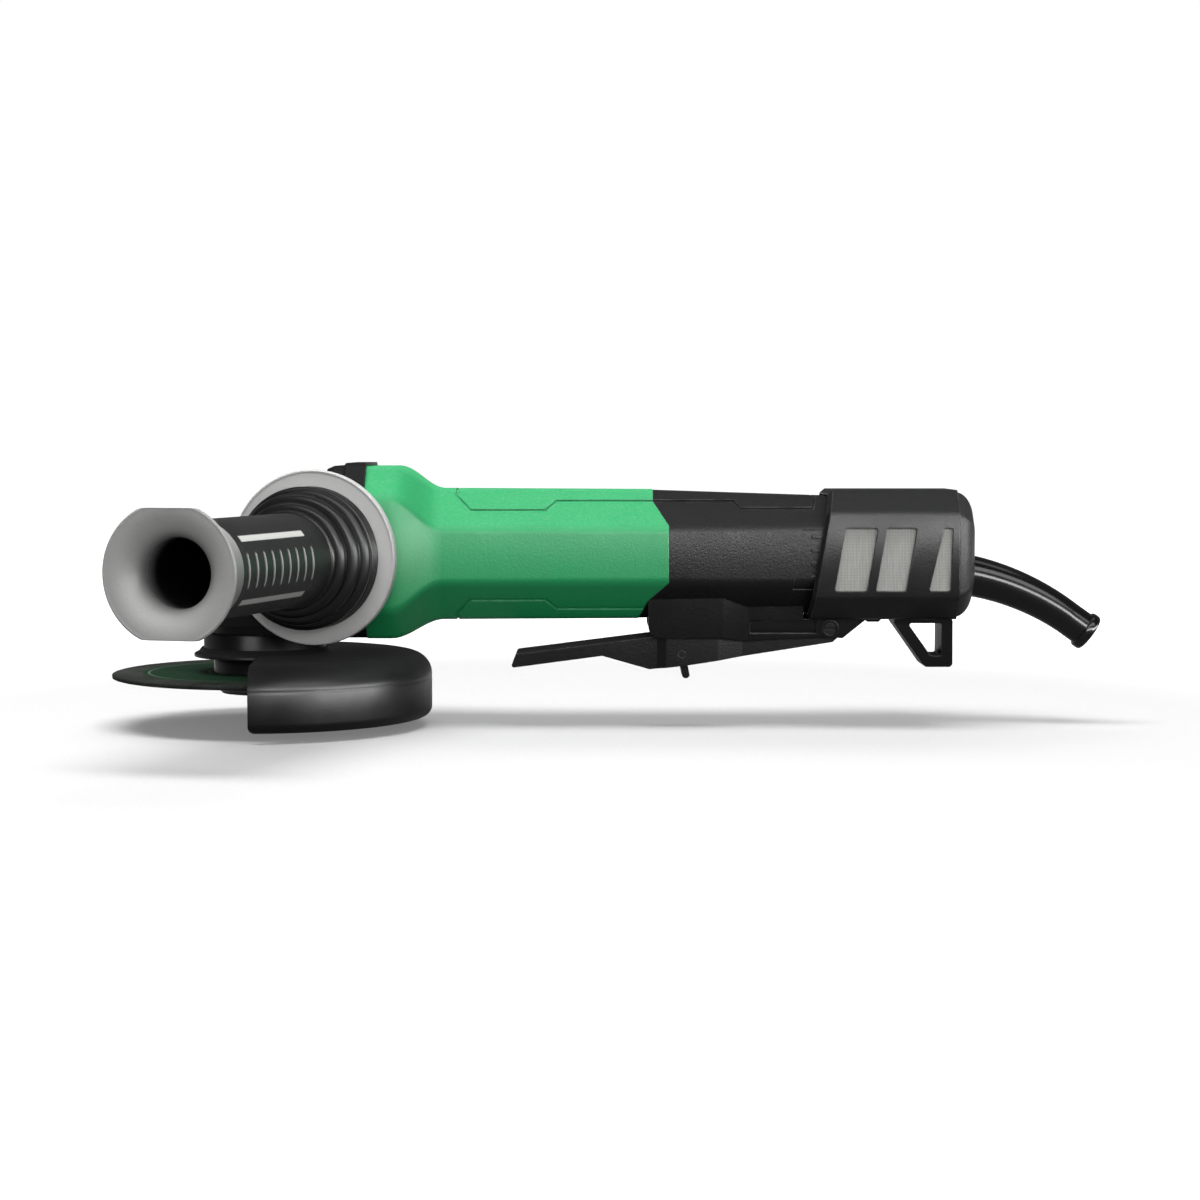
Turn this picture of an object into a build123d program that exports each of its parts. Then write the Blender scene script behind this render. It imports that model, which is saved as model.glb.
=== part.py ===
from build123d import *

import math
import os

# Angle grinder with a paddle switch and a side handle. Sizes are in millimetres.
# Working frame: the motor axis is X, the spindle axis is Z and they cross at zero. +X is the rear
# and the side handle points to -Y. At the end every piece is lifted, so that the origin lies on
# the spindle axis in the outer face of the clamping nut.

# Clearances
run_gap = 0.05
press_gap = 0.02
seat_gap = 0.1
slide_gap = 0.3

# Cutting disc, wheel flange and clamping nut
disc_radius = 62.5
disc_thick = 2.0
disc_bore = 11.115
disc_top = -48.9
flange_radius = 21.0
flange_thick = 6.5
nut_radius = 18.5
nut_thick = 6.6
nut_pin_circle = 15.0
nut_bevel = 0.8
nut_pin_hole = 2.5

# Spindle and its bearings
thread_radius = 7.0
free_end = 4.2
free_end_relief = 0.8
shoulder_radius = 11.0
lower_journal = 7.5
gear_seat = 6.5
upper_journal = 5.0
lower_bearing_outer = 17.5
lower_bearing_width = 11.0
upper_bush_outer = 6.6
upper_bush_width = 4.0
upper_bush_low = 9.5

# Bevel gears, with their apex where the two axes cross
gear_module = 1.2
ring_teeth = 38
pinion_teeth = 11
face_width = 6.5
tooth_share = 0.38
addendum = 0.9
dedendum = 1.4
ring_gear_low = -13.5
pinion_bore = 2.4
pinion_hub_radius = 6.0
pinion_hub_rear = 30.0
pinion_nut_width = 6.0
pinion_nut_thick = 3.6

# Spindle lock
lock_circle = 12.6
lock_holes = 4
lock_pin_radius = 2.5
lock_travel = 3.5
lock_pin_lift = 1.2
lock_button_radius = 5.0
lock_button_top = 14.5
lock_boss_top = 11.5
lock_boss_radius = 8.0
lock_boss_floor = 5.0
lock_button_wall = 1.1

# Gear case
case_rear = 44.7
rim_front = 36.0
rim_half = 37.1
shoulder_front = 27.7
shoulder_half = 35.9
shoulder_bevel = 4.0
head_top_rear = 30.0
head_top_spindle = 18.5
head_half_spindle = 28.3
head_nose = -33.0
case_low = -24.0
chamber_radius = 23.8
chamber_top = -3.0
pad_radius = 29.0
pad_top = -18.5
pinion_tunnel = 9.2
front_bearing_outer = 15.0
front_bearing_width = 9.0
front_bearing_front = 34.0
case_screw_offset = 26.5
case_screw_radius = 2.4
case_screw_head = 4.2
case_screw_length = 18.0

# Bearing cover
cover_flange_thick = 4.5
neck_radius = 23.0
neck_low = -41.6
seal_outer = 15.0
seal_width = 4.0
cover_screw_circle = 26.5
cover_screw_radius = 1.6
cover_screw_length = 9.0
cover_screw_sink = 0.4

# Wheel guard
guard_radius = 69.0
guard_sheet = 1.8
guard_plate_top = -40.5
guard_low = -67.5
guard_lip = 29.0
guard_half_angle = 88.0
guard_fillet = 9.0
guard_roll = 4.0
lip_rise = 2.0
band_wall = 2.0
band_top = -32.5
lug_reach = 6.5
lug_turn = -45.0
lug_thick = 3.0
lug_gap = 2.4
clamp_radius = 1.7

# Side handle, measured along its own axis from the boss on the gear case
handle_sweep = 15.5
handle_root_x = 36.0
boss_reach = 38.6
boss_radius = 13.0
bolt_radius = 4.0
bolt_depth = 14.0
bolt_head_width = 13.0
bolt_head_thick = 6.0
ring_radius = 34.85
ring_thick = 4.6
damper_radius = 28.3
damper_straight = 17.0
damper_end = 30.0
damper_groove = 0.5
core_radius = 15.4
core_bore = 12.6
core_start = 20.0
core_floor = 2.4
core_pocket = 10.0
grip_radius = 18.3
grip_end = 112.0
grip_rib = 0.5
grip_ribs = 9
grip_rib_start = 46.4
grip_rib_pitch = 7.4
grip_rib_half = 7.0
horn_end = 134.0
horn_radius = 25.5
horn_flat = 23.0
horn_mouth = 24.2
horn_depth = 9.0

# Motor housing
housing_half = 35.7
housing_wall = 2.6
flange_rear = 54.5
shoulder_rear = 75.0
barrel_half = 26.8
barrel_rear_half = 26.3
flange_corner = 12.0
flange_top_lift = 0.3
flange_low_lift = 2.0
case_low_lift = 3.8
shoulder_lead = 3.0
groove_width = 0.9
groove_depth = 0.5
panel_start = 80.6
panel_turn = 86.3
panel_step = 116.7
panel_rise = 121.3
panel_in = 18.1
panel_out = 21.8

# Split between the motor housing and the tail, in X and Z
split_top_x = 160.3
split_mid_x = 166.6
split_low_x = 154.3
split_top_z = 21.6
split_side_z = 12.0
split_low_z = -18.5

# Motor
stator_front = 76.0
stator_length = 50.0
stator_bore = 13.0
slot_inner = 14.2
slot_outer = 20.4
slot_width = 7.0
slots = 6
winding_overhang = 6.0
air_gap = 0.5
shaft_radius = 6.0
magnet_thick = 2.2
magnet_width = 10.0
magnets = 4
fan_front = 47.5
fan_length = 12.5
fan_radius = 26.0
fan_blades = 11
fan_blade_thick = 1.6
fan_plate = 2.0
baffle_front = 63.0
baffle_thick = 2.0
baffle_bore = 17.0
rear_bearing_bore = 4.0
rear_bearing_outer = 11.0
rear_bearing_width = 7.0
rear_bearing_front = 140.0
bracket_plate = 4.0
bracket_vents = 6

# Tail housing
tongue_front = 149.0
tongue_wall = 2.0
tail_rear = 234.0
tail_wall = 2.5
tail_end_half_y = 24.6
tail_end_top = 23.6
tail_end_low = -23.4
tail_end_corner = 12.0
neck_half = 22.0
neck_corner = 10.0
neck_rear = 280.0
neck_wall = 3.0
shell_screw_radius = 1.75
shell_screw_head = 3.2
shell_boss = 4.0
panel_depth = 0.5
panel_ribs = 4
panel_rib = 1.4
panel_rib_pitch = 5.5
panel_rib_top = 7.6
panel_top = 10.4
panel_low = -13.8
tail_line_step = 192.7
tail_line_rise = 196.0
tail_line_end = 225.1
tail_line_in = 18.8

# Switch bracket under the tail
switch_block_front = 158.5
switch_block_half = 19.0
switch_block_rear = 189.0
switch_rail_front = 199.0
switch_rail_half = 15.0
switch_rail_rear = 250.0
switch_wall = 2.5
switch_block_low = -33.8
switch_rail_low = -34.6

# Paddle, pivot and lock-off lever
pivot_x = 232.6
pivot_z = -30.3
pivot_pin_radius = 2.5
pivot_boss_radius = 3.6
paddle_tip_x = 102.2
paddle_tip_low = -46.5
paddle_wall = 2.4
paddle_side_gap = 0.5
paddle_tip_half = 14.0
lock_lever_x = 172.3
lock_lever_z = -40.5
lock_lever_pin = 1.5
lock_lever_half = 10.0
lock_lever_thick = 3.0
lock_lever_low = -51.2
lock_lever_lean = 11.0

# Switch, controller and leads
switch_x = 188.0
switch_length = 20.0
switch_half = 5.5
switch_top = -11.0
plunger_radius = 2.0
plunger_reach = 6.0
tray_front = 176.0
tray_length = 46.0
tray_half = 13.0
tray_low = -4.0
tray_top = 18.5
tray_wall = 1.5
board_thick = 1.6
capacitor_radius = 5.0
capacitor_length = 30.0
lead_radius = 1.1
lead_spacing = 5.0
lead_z = 17.0

# Dust cover, mesh, end cap, foot and cord guard
dust_half_y = 28.0
dust_top = 26.4
dust_low = -26.2
dust_corner = 8.6
dust_wall = 2.2
dust_front_top = 231.5
dust_front_low = 222.7
dust_rear = 283.5
window_top = 11.2
window_low = -14.2
window_lean = 4.4
mesh_thick = 0.5
mesh_margin = 1.4
cap_rear = 291.3
cap_pocket = 3.6
cap_screw_y = 13.0
cap_screw_z = 13.0
cap_screw_radius = 1.6
foot_half = 10.0
foot_low = -46.4
foot_bar = 4.6
foot_front = 257.9
foot_toe = 272.2
foot_rear = 283.5
foot_pad = 2.2
cord_exit_z = -9.8
cord_exit_x = 294.0
cord_drop = 12.4
cord_turn = 23.0
cord_bend = 105.0
cord_root_radius = 8.4
cord_end_radius = 6.9
cord_collar_radius = 8.0
cord_collar = 4.0
cord_straight = 11.5
cord_bore = 4.2
cord_flange = 11.0
cord_flange_thick = 2.2

# Springs
lock_spring_wire = 0.35
lock_spring_turns = 2
paddle_spring_radius = 3.6
paddle_spring_wire = 0.5
paddle_spring_turns = 5
lever_spring_wire = 0.35
lever_spring_turns = 2

# Derived places
nose_z = disc_top - disc_thick - nut_thick
flange_top = disc_top + flange_thick
cover_flange_low = case_low - cover_flange_thick
guard_plate_low = guard_plate_top - guard_sheet
lower_bearing_top = ring_gear_low - 1.0
lower_bearing_low = lower_bearing_top - lower_bearing_width
upper_bush_top = upper_bush_low + upper_bush_width
ring_pitch_radius = gear_module * ring_teeth / 2
pinion_pitch_radius = gear_module * pinion_teeth / 2
pinion_cone = math.atan2(pinion_teeth, ring_teeth)
gear_reach = math.hypot(ring_pitch_radius, pinion_pitch_radius)
inner_share = (gear_reach - face_width) / gear_reach
sweep_angle = math.radians(handle_sweep)
regular_corner = 1 - math.tan(math.radians(22.5))
wall_corner = 2 - math.sqrt(2)
stator_rear = stator_front + stator_length
rotor_radius = stator_bore - air_gap
tray_rear = tray_front + tray_length


def rod_x(radius, low, high, y=0.0, z=0.0):
    """A cylinder along X from low to high."""
    return Pos((low + high) / 2, y, z) * Rot(0, 90, 0) * Cylinder(radius, high - low)


def rod_y(radius, low, high, x=0.0, z=0.0):
    """A cylinder along Y from low to high."""
    return Pos(x, (low + high) / 2, z) * Rot(90, 0, 0) * Cylinder(radius, high - low)


def rod_z(radius, low, high, x=0.0, y=0.0):
    """A cylinder along Z from low to high."""
    return Pos(x, y, (low + high) / 2) * Cylinder(radius, high - low)


def block(x_low, x_high, y_low, y_high, z_low, z_high):
    """A box between two corners."""
    middle = Pos((x_low + x_high) / 2, (y_low + y_high) / 2, (z_low + z_high) / 2)
    return middle * Box(x_high - x_low, y_high - y_low, z_high - z_low)


def polygon(points, rounding=0.0):
    """A flat face inside a closed outline, with all corners rounded where a rounding is given."""
    face = make_face(Polyline(*points, close=True))
    if rounding > 0:
        face = fillet(face.vertices(), rounding)
    return face


def spun_z(points):
    """A solid turned about Z from points of radius and height."""
    return revolve(Plane.XZ * polygon(points), Axis.Z)


def spun_x(points):
    """A solid turned about X from points of X and radius."""
    return revolve(Plane.XZ * polygon(points), Axis.X)


def side_cut(points, half_width, rounding=0.0):
    """A side outline in X and Z, as wide as two half widths in Y."""
    return extrude(Plane.XZ * polygon(points, rounding), amount=half_width, both=True)


def plan_cut(points, low, high):
    """A plan outline in X and Y, between two heights."""
    return extrude(Plane.XY.offset(low) * polygon(points), amount=high - low)


def section(x, half_y, top, low, corner, rounding):
    """An eight sided outline with rounded corners, across the motor axis at X = x."""
    points = [
        (half_y, low + corner),
        (half_y, top - corner),
        (half_y - corner, top),
        (corner - half_y, top),
        (-half_y, top - corner),
        (-half_y, low + corner),
        (corner - half_y, low),
        (half_y - corner, low),
    ]
    return Plane.YZ.offset(x) * polygon(points, rounding)


def even_section(x, half, corner, rounding):
    """A section that is as high as it is wide."""
    return section(x, half, half, -half, corner, rounding)


def coil_spring(radius, wire, low, high, turns):
    """A round wire coil about Z, from low to high over all."""
    height = high - low - 2 * wire
    path = Helix(height / turns, height, radius, center=(0, 0, low + wire))
    end = Plane(origin=path @ 0, z_dir=path % 0) * Circle(wire)
    gap = height / turns - 2 * wire
    print("spring of", turns, "turns, least gap to itself", round(gap, 2), "mm")
    return sweep(end, path=path, is_frenet=True)


def ball_bearing(bore, outer, width, balls):
    """A ball bearing about Z on the plane Z = 0: outer ring, inner ring and balls."""
    middle = (bore + outer) / 2
    ball = (outer - bore) * 0.3
    land = (outer - bore) * 0.28
    height = width / 2
    groove = Pos(0, 0, height) * Torus(middle, ball + run_gap)
    outer_ring = rod_z(outer, 0, width) - rod_z(outer - land, -1, width + 1) - groove
    inner_ring = rod_z(bore + land, 0, width) - rod_z(bore, -1, width + 1) - groove
    pieces = [outer_ring, inner_ring]
    for index in range(balls):
        turn = Rot(0, 0, 360 * index / balls)
        pieces.append(turn * Pos(middle, 0, height) * Sphere(ball))
    return pieces


def along_x(pieces, x):
    """Pieces made about Z, laid along X with their zero plane at X = x."""
    return [Pos(x, 0, 0) * Rot(0, 90, 0) * piece for piece in pieces]


def on_handle(part, side=-1):
    """A part made about Z, set on the handle axis with its zero on the boss face."""
    sine, cosine = math.sin(sweep_angle), math.cos(sweep_angle)
    axis = (-sine, side * cosine, 0)
    start = (handle_root_x - boss_reach * sine, side * boss_reach * cosine, 0)
    level = (-side * cosine, -sine, 0)
    return Plane(origin=start, x_dir=level, z_dir=axis).location * part


def bevel_tooth(pitch_x, pitch_r, tip_x, tip_r):
    """One straight tooth as a solid that shrinks towards the apex.

    It stands on the cone line through (pitch_x, pitch_r), measured along and away from the
    gear's own axis, and its tip direction is (tip_x, tip_r). The axis is X and the tooth
    is centred on +Z.
    """
    half = tooth_share * math.pi * gear_module / 2
    slope = math.tan(math.radians(20))
    root = dedendum + 0.6
    corners = []
    for share in (1.0, inner_share):
        for height, width in ((addendum, half - addendum * slope), (-root, half + root * slope)):
            x = (pitch_x + height * tip_x) * share
            r = (pitch_r + height * tip_r) * share
            corners.append((x, width * share, r))
            corners.append((x, -width * share, r))
    return ConvexPolyhedron(corners)


def ring_gear():
    """The large bevel gear on the spindle, with blind holes for the lock pin."""
    sine, cosine = math.sin(pinion_cone), math.cos(pinion_cone)
    root_r = ring_pitch_radius - dedendum * sine
    root_z = -pinion_pitch_radius - dedendum * cosine
    web = root_z * inner_share
    body = spun_z([
        (gear_seat + press_gap, ring_gear_low),
        (root_r + 0.5, ring_gear_low),
        (root_r, root_z),
        (root_r * inner_share, web),
        (gear_seat + press_gap, web),
    ])
    tooth = bevel_tooth(pinion_pitch_radius, ring_pitch_radius, -cosine, sine)
    upright = Rot(0, 90, 0) * tooth
    gear = body + [Rot(0, 0, 360 * n / ring_teeth) * upright for n in range(ring_teeth)]
    depth = lock_travel + 1.5
    for index in range(lock_holes):
        turn = Rot(0, 0, 360 * index / lock_holes)
        gear -= turn * rod_z(lock_pin_radius + slide_gap, web - depth, 0, lock_circle)
    return gear


def pinion():
    """The small bevel gear on the rotor shaft, with its hub."""
    sine, cosine = math.sin(pinion_cone), math.cos(pinion_cone)
    root_x = ring_pitch_radius + dedendum * sine
    root_r = pinion_pitch_radius - dedendum * cosine
    body = spun_x([
        (root_x * inner_share, pinion_bore + press_gap),
        (root_x * inner_share, root_r * inner_share),
        (root_x, root_r),
        (root_x + 1.0, pinion_hub_radius),
        (pinion_hub_rear, pinion_hub_radius),
        (pinion_hub_rear, pinion_bore + press_gap),
    ])
    tooth = bevel_tooth(ring_pitch_radius, pinion_pitch_radius, -sine, cosine)
    half_step = 180 / pinion_teeth
    for index in range(pinion_teeth):
        body += Rot(180 + half_step + 360 * index / pinion_teeth, 0, 0) * tooth
    return body - rod_x(pinion_bore + press_gap, 0, pinion_hub_rear + 1)


def pinion_nut():
    """The hexagon nut that holds the pinion on its shaft."""
    front = (ring_pitch_radius + dedendum * math.sin(pinion_cone)) * inner_share
    hexagon = extrude(RegularPolygon(pinion_nut_width / 2, 6, major_radius=False), pinion_nut_thick)
    nut = hexagon - rod_z(pinion_bore + press_gap, -1, pinion_nut_thick + 1)
    return Pos(front - pinion_nut_thick, 0, 0) * Rot(0, 90, 0) * nut


def spindle():
    """The output spindle, with its bearing seats, shoulder and threaded end."""
    gear_top = -(pinion_pitch_radius + dedendum * math.cos(pinion_cone)) * inner_share
    thread_low = nose_z - free_end
    return spun_z([
        (0, upper_bush_top - 0.5),
        (upper_journal - run_gap, upper_bush_top - 0.5),
        (upper_journal - run_gap, gear_top + 1.0),
        (gear_seat, gear_top + 1.0),
        (gear_seat, lower_bearing_top + 0.4),
        (lower_journal - run_gap, lower_bearing_top + 0.4),
        (lower_journal - run_gap, lower_bearing_low - 0.3),
        (shoulder_radius, lower_bearing_low - 0.3),
        (shoulder_radius, flange_top),
        (thread_radius, flange_top),
        (thread_radius, nose_z),
        (thread_radius - 0.8, nose_z),
        (thread_radius - 0.8, nose_z - free_end_relief),
        (thread_radius, nose_z - free_end_relief),
        (thread_radius, thread_low + 0.6),
        (thread_radius - 0.6, thread_low),
        (0, thread_low),
    ])


def bearing_cover():
    """The cover below the gear chamber, with the bearing pocket and the neck for the guard."""
    pocket_low = lower_bearing_low
    body = spun_z([
        (lower_bearing_outer + press_gap, lower_bearing_top - 0.5),
        (chamber_radius - seat_gap, lower_bearing_top - 0.5),
        (chamber_radius - seat_gap, case_low),
        (pad_radius, case_low),
        (pad_radius, cover_flange_low),
        (neck_radius, cover_flange_low),
        (neck_radius, neck_low),
        (seal_outer, neck_low),
        (seal_outer, neck_low + seal_width),
        (shoulder_radius + slide_gap, neck_low + seal_width),
        (shoulder_radius + slide_gap, pocket_low),
        (lower_bearing_outer + press_gap, pocket_low),
    ])
    for angle in (45, 135, 225, 315):
        spot = Rot(0, 0, angle) * Pos(cover_screw_circle, 0, 0)
        body -= spot * cover_screw(press_gap)
        sink = cover_flange_low + cover_screw_sink
        body -= spot * rod_z(2 * cover_screw_radius, cover_flange_low - 1, sink)
    return body


def cover_screw(grow):
    """A countersunk screw below the bearing cover, grown by a clearance."""
    head = 2 * cover_screw_radius
    low = cover_flange_low + cover_screw_sink
    return spun_z([
        (0, low + cover_screw_length),
        (cover_screw_radius + grow, low + cover_screw_length),
        (cover_screw_radius + grow, low + head - cover_screw_radius),
        (head + grow, low),
        (0, low),
    ])


def flange_section(x, half, corner, rounding):
    """A section of the gear case where it meets the motor housing, raised at its lower side."""
    return section(x, half, half + flange_top_lift, case_low_lift - half, corner, rounding)


def head_shape():
    """The smooth gear head from the nose back to the shoulder."""
    rear = shoulder_front + shoulder_bevel
    front_top = lock_boss_top - 4.0
    return loft([
        section(head_nose, 8.0, 2.0, case_low + 4.0, 3.0, 1.5),
        section(head_nose * 0.8, 15.5, front_top, case_low + 1.0, 5.0, 2.5),
        section(head_nose * 0.42, head_half_spindle - 4.8, lock_boss_top, case_low, 7.0, 3.0),
        section(0, head_half_spindle, head_top_spindle, case_low, 8.0, 3.5),
        section(14.0, head_half_spindle + 2.2, head_top_spindle + 7.0, case_low - 1.0, 9.0, 4.0),
        section(rear, head_half_spindle + 2.7, head_top_rear, -head_top_rear, 10.0, 4.0),
    ])


def gear_case():
    """The cast head: nose, shoulder, rim, handle bosses and all the bores inside."""
    shoulder = loft([
        flange_section(shoulder_front, shoulder_half - shoulder_bevel, flange_corner - 1.5, 4.0),
        flange_section(shoulder_front + 1.2, shoulder_half - 1.2, flange_corner - 0.5, 4.5),
        flange_section(shoulder_front + shoulder_bevel, shoulder_half, flange_corner, 5.0),
        flange_section(rim_front + 1.0, shoulder_half, flange_corner, 5.0),
    ], ruled=True)
    rim = extrude(flange_section(rim_front, rim_half, flange_corner, 6.0), case_rear - rim_front)
    rim = fillet(rim.edges().group_by(Axis.X)[0], 0.9)
    body = head_shape() + shoulder + rim
    body += rod_z(pad_radius, case_low, pad_top)
    body += rod_z(lock_boss_radius, lock_boss_floor - 4.0, lock_boss_top, -lock_circle)
    for side in (-1, 1):
        body += on_handle(rod_z(boss_radius, -boss_reach / 2, 0), side)
    body -= rod_z(pad_radius + slide_gap, 2 * case_low, case_low)
    body -= rod_z(chamber_radius, case_low - 1, chamber_top)
    body -= rod_z(upper_bush_outer + 1.5, chamber_top - 1, upper_bush_low)
    body -= rod_z(upper_bush_outer + press_gap, chamber_top, upper_bush_top)
    body -= rod_x(pinion_tunnel, 0, front_bearing_front)
    body -= rod_x(front_bearing_outer + press_gap, front_bearing_front, case_rear + 1)
    body -= rod_z(lock_pin_radius + run_gap, chamber_top - 1, lock_boss_top, -lock_circle)
    body -= rod_z(lock_button_radius + slide_gap, lock_boss_floor, head_top_rear, -lock_circle)
    for y in (-case_screw_offset, case_screw_offset):
        for z in (-case_screw_offset, case_screw_offset):
            body -= rod_x(case_screw_radius + press_gap, 0, case_rear + 1, y, z)
            body -= rod_x(case_screw_head + seat_gap, 0, rim_front, y, z)
    for side in (-1, 1):
        body -= on_handle(rod_z(bolt_radius, -bolt_depth - 2.0, 1), side)
    for angle in (45, 135, 225, 315):
        spot = Rot(0, 0, angle)
        body -= spot * rod_z(cover_screw_radius + press_gap, case_low - 1, case_low + 5.5, cover_screw_circle)
    exhaust_low = case_low_lift - shoulder_half + shoulder_bevel / 2
    body -= block(rim_front - 3.5, case_rear + 1, -11, 11, exhaust_low, exhaust_low + 6.0)
    body -= block(rim_front - 3.5, rim_front, -11, 11, -rim_half - 1, exhaust_low + 6.0)
    return body


def gear_case_screws():
    """Four screws from the gear case into the motor housing."""
    head_front = rim_front - 4.0
    pieces = []
    for y in (-case_screw_offset, case_screw_offset):
        for z in (-case_screw_offset, case_screw_offset):
            screw = rod_x(case_screw_radius, head_front, rim_front + case_screw_length, y, z)
            screw += rod_x(case_screw_head, head_front, rim_front, y, z)
            screw -= rod_x(case_screw_head * 0.5, head_front - 1, head_front + 2.2, y, z)
            pieces.append(screw)
    return pieces


def bearing_cover_screws():
    """Four countersunk screws in the bearing cover."""
    return [
        Rot(0, 0, angle) * Pos(cover_screw_circle, 0, 0) * cover_screw(0)
        for angle in (45, 135, 225, 315)
    ]


def lock_button():
    """The spindle lock's button, hollow for its spring, with the hole for the pin."""
    low = lock_boss_floor + lock_travel
    button = rod_z(lock_button_radius, low, lock_button_top, -lock_circle)
    button = fillet(button.edges().group_by(Axis.Z)[-1], 1.0)
    button -= rod_z(lock_button_radius - lock_button_wall, low - 1, low + 1.8, -lock_circle)
    return button - rod_z(lock_pin_radius, low - 1, lock_button_top - 1.5, -lock_circle)


def lock_pin():
    """The steel pin that the button pushes into the ring gear."""
    web = -(pinion_pitch_radius + dedendum * math.cos(pinion_cone)) * inner_share
    return rod_z(lock_pin_radius, web + lock_pin_lift, lock_button_top - 1.5, -lock_circle)


def lock_spring():
    """The coil that lifts the button."""
    radius = (lock_pin_radius + lock_button_radius - lock_button_wall) / 2
    top = lock_boss_floor + lock_travel + 1.8
    coil = coil_spring(radius, lock_spring_wire, lock_boss_floor, top, lock_spring_turns)
    return Pos(-lock_circle, 0, 0) * coil


def wheel_guard():
    """The sheet guard: a half round skirt curved into its plate, a rolled edge and a flared lip."""
    hole = neck_radius + run_gap
    low = guard_plate_low
    edge = guard_radius - guard_fillet
    bend_z = guard_plate_top - guard_fillet
    inside = guard_radius - guard_sheet
    roll = guard_radius - guard_roll
    roll_z = guard_low + guard_roll
    outline = make_face([
        Line((hole, low), (hole, guard_plate_top)),
        Line((hole, guard_plate_top), (edge, guard_plate_top)),
        CenterArc((edge, bend_z), guard_fillet, 0, 90),
        Line((guard_radius, bend_z), (guard_radius, roll_z)),
        CenterArc((roll, roll_z), guard_roll, -90, 90),
        Line((roll, guard_low), (roll, guard_low + guard_sheet)),
        CenterArc((roll, roll_z), guard_roll - guard_sheet, -90, 90),
        Line((inside, roll_z), (inside, bend_z)),
        CenterArc((edge, bend_z), guard_fillet - guard_sheet, 0, 90),
        Line((edge, low), (hole, low)),
    ])
    turned = Rot(0, 0, -guard_half_angle) * revolve(
        Plane.XZ * outline, Axis.Z, revolution_arc=2 * guard_half_angle
    )
    collar = hole + band_wall + seat_gap
    lip = spun_z([
        (hole, low),
        (hole, guard_plate_top),
        (collar, guard_plate_top),
        (collar, guard_plate_top + lip_rise),
        (collar + 0.8, guard_plate_top + lip_rise),
        (guard_lip, guard_plate_top - guard_sheet / 2),
        (guard_lip, low),
    ])
    return turned + lip


def guard_band():
    """The clamp band round the neck, with two lugs for its screw."""
    inner = neck_radius + run_gap
    outer = inner + band_wall
    reach = outer + lug_reach
    lug_half = lug_gap / 2 + lug_thick
    body = rod_z(outer, guard_plate_top, band_top)
    lug_low = guard_plate_top + lip_rise + slide_gap
    body += block(-reach, -inner, -lug_half, lug_half, lug_low, band_top - seat_gap)
    body -= rod_z(inner, guard_plate_top - 1, band_top + 1)
    body -= block(-reach - 1, -inner + 2, -lug_gap / 2, lug_gap / 2, guard_plate_top - 1, band_top + 1)
    middle = (lug_low + band_top - seat_gap) / 2
    body -= rod_y(clamp_radius + press_gap, -20, 20, -(outer + reach) / 2, middle)
    return Rot(0, 0, lug_turn) * body


def guard_clamp_screw():
    """The screw that draws the band's two lugs together."""
    outer = neck_radius + run_gap + band_wall
    x = -(outer + outer + lug_reach) / 2
    middle = (guard_plate_top + lip_rise + slide_gap + band_top - seat_gap) / 2
    lug_half = lug_gap / 2 + lug_thick
    screw = rod_y(clamp_radius, -lug_half - 2.5, lug_half, x, middle)
    screw += rod_y(clamp_radius * 1.4, lug_half, lug_half + 3.0, x, middle)
    return Rot(0, 0, lug_turn) * screw


def wheel_flange():
    """The inner flange that carries and centres the disc."""
    body = spun_z([
        (thread_radius + press_gap, disc_top),
        (thread_radius + press_gap, flange_top),
        (flange_radius - 1.0, flange_top),
        (flange_radius, flange_top - 1.0),
        (flange_radius, disc_top),
    ])
    register = rod_z(disc_bore - seat_gap, disc_top - disc_thick + 0.4, disc_top)
    register -= rod_z(thread_radius + press_gap, disc_top - disc_thick, disc_top + 1)
    return body + register


def cutting_disc():
    """The thin cutting disc."""
    low = disc_top - disc_thick
    disc = rod_z(disc_radius, low, disc_top) - rod_z(disc_bore, low - 1, disc_top + 1)
    rims = disc.edges().filter_by(GeomType.CIRCLE).sort_by(SortBy.LENGTH)[-2:]
    return chamfer(rims, 0.25)


def wheel_nut():
    """The round clamping nut with two holes for the pin spanner."""
    top = disc_top - disc_thick
    body = spun_z([
        (thread_radius + press_gap, nose_z),
        (nut_radius - nut_bevel, nose_z),
        (nut_radius, nose_z + nut_bevel),
        (nut_radius, top),
        (thread_radius + press_gap, top),
    ])
    for x in (-nut_pin_circle, nut_pin_circle):
        body -= rod_z(nut_pin_hole, nose_z - 1, nose_z + 4.0, x)
    return body


def handle_bolt():
    """The bolt through the handle's foot into the gear case."""
    head = core_start + core_floor
    bolt = rod_z(bolt_radius - press_gap, -bolt_depth, head)
    bolt += Pos(0, 0, head) * extrude(
        RegularPolygon(bolt_head_width / 2, 6, major_radius=False), bolt_head_thick
    )
    return on_handle(bolt)


def handle_flange():
    """The light ring that shields the hand."""
    return on_handle(spun_z([
        (bolt_radius + seat_gap, 0),
        (ring_radius - 3.4, 0),
        (ring_radius - 1.2, 0.5),
        (ring_radius, 1.8),
        (ring_radius, ring_thick - 1.4),
        (ring_radius - 0.8, ring_thick - 0.2),
        (ring_radius - 2.0, ring_thick + 0.2),
        (ring_radius - 4.0, ring_thick - 0.3),
        (ring_radius - 5.5, ring_thick),
        (bolt_radius + seat_gap, ring_thick),
    ]))


def rounded_step(radius, middle, bulge):
    """Profile points of one rounded ridge, from below its middle to above it."""
    return [
        (radius - bulge + bulge * math.cos(math.radians(a)), middle + bulge * math.sin(math.radians(a)))
        for a in range(-75, 76, 25)
    ]


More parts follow.
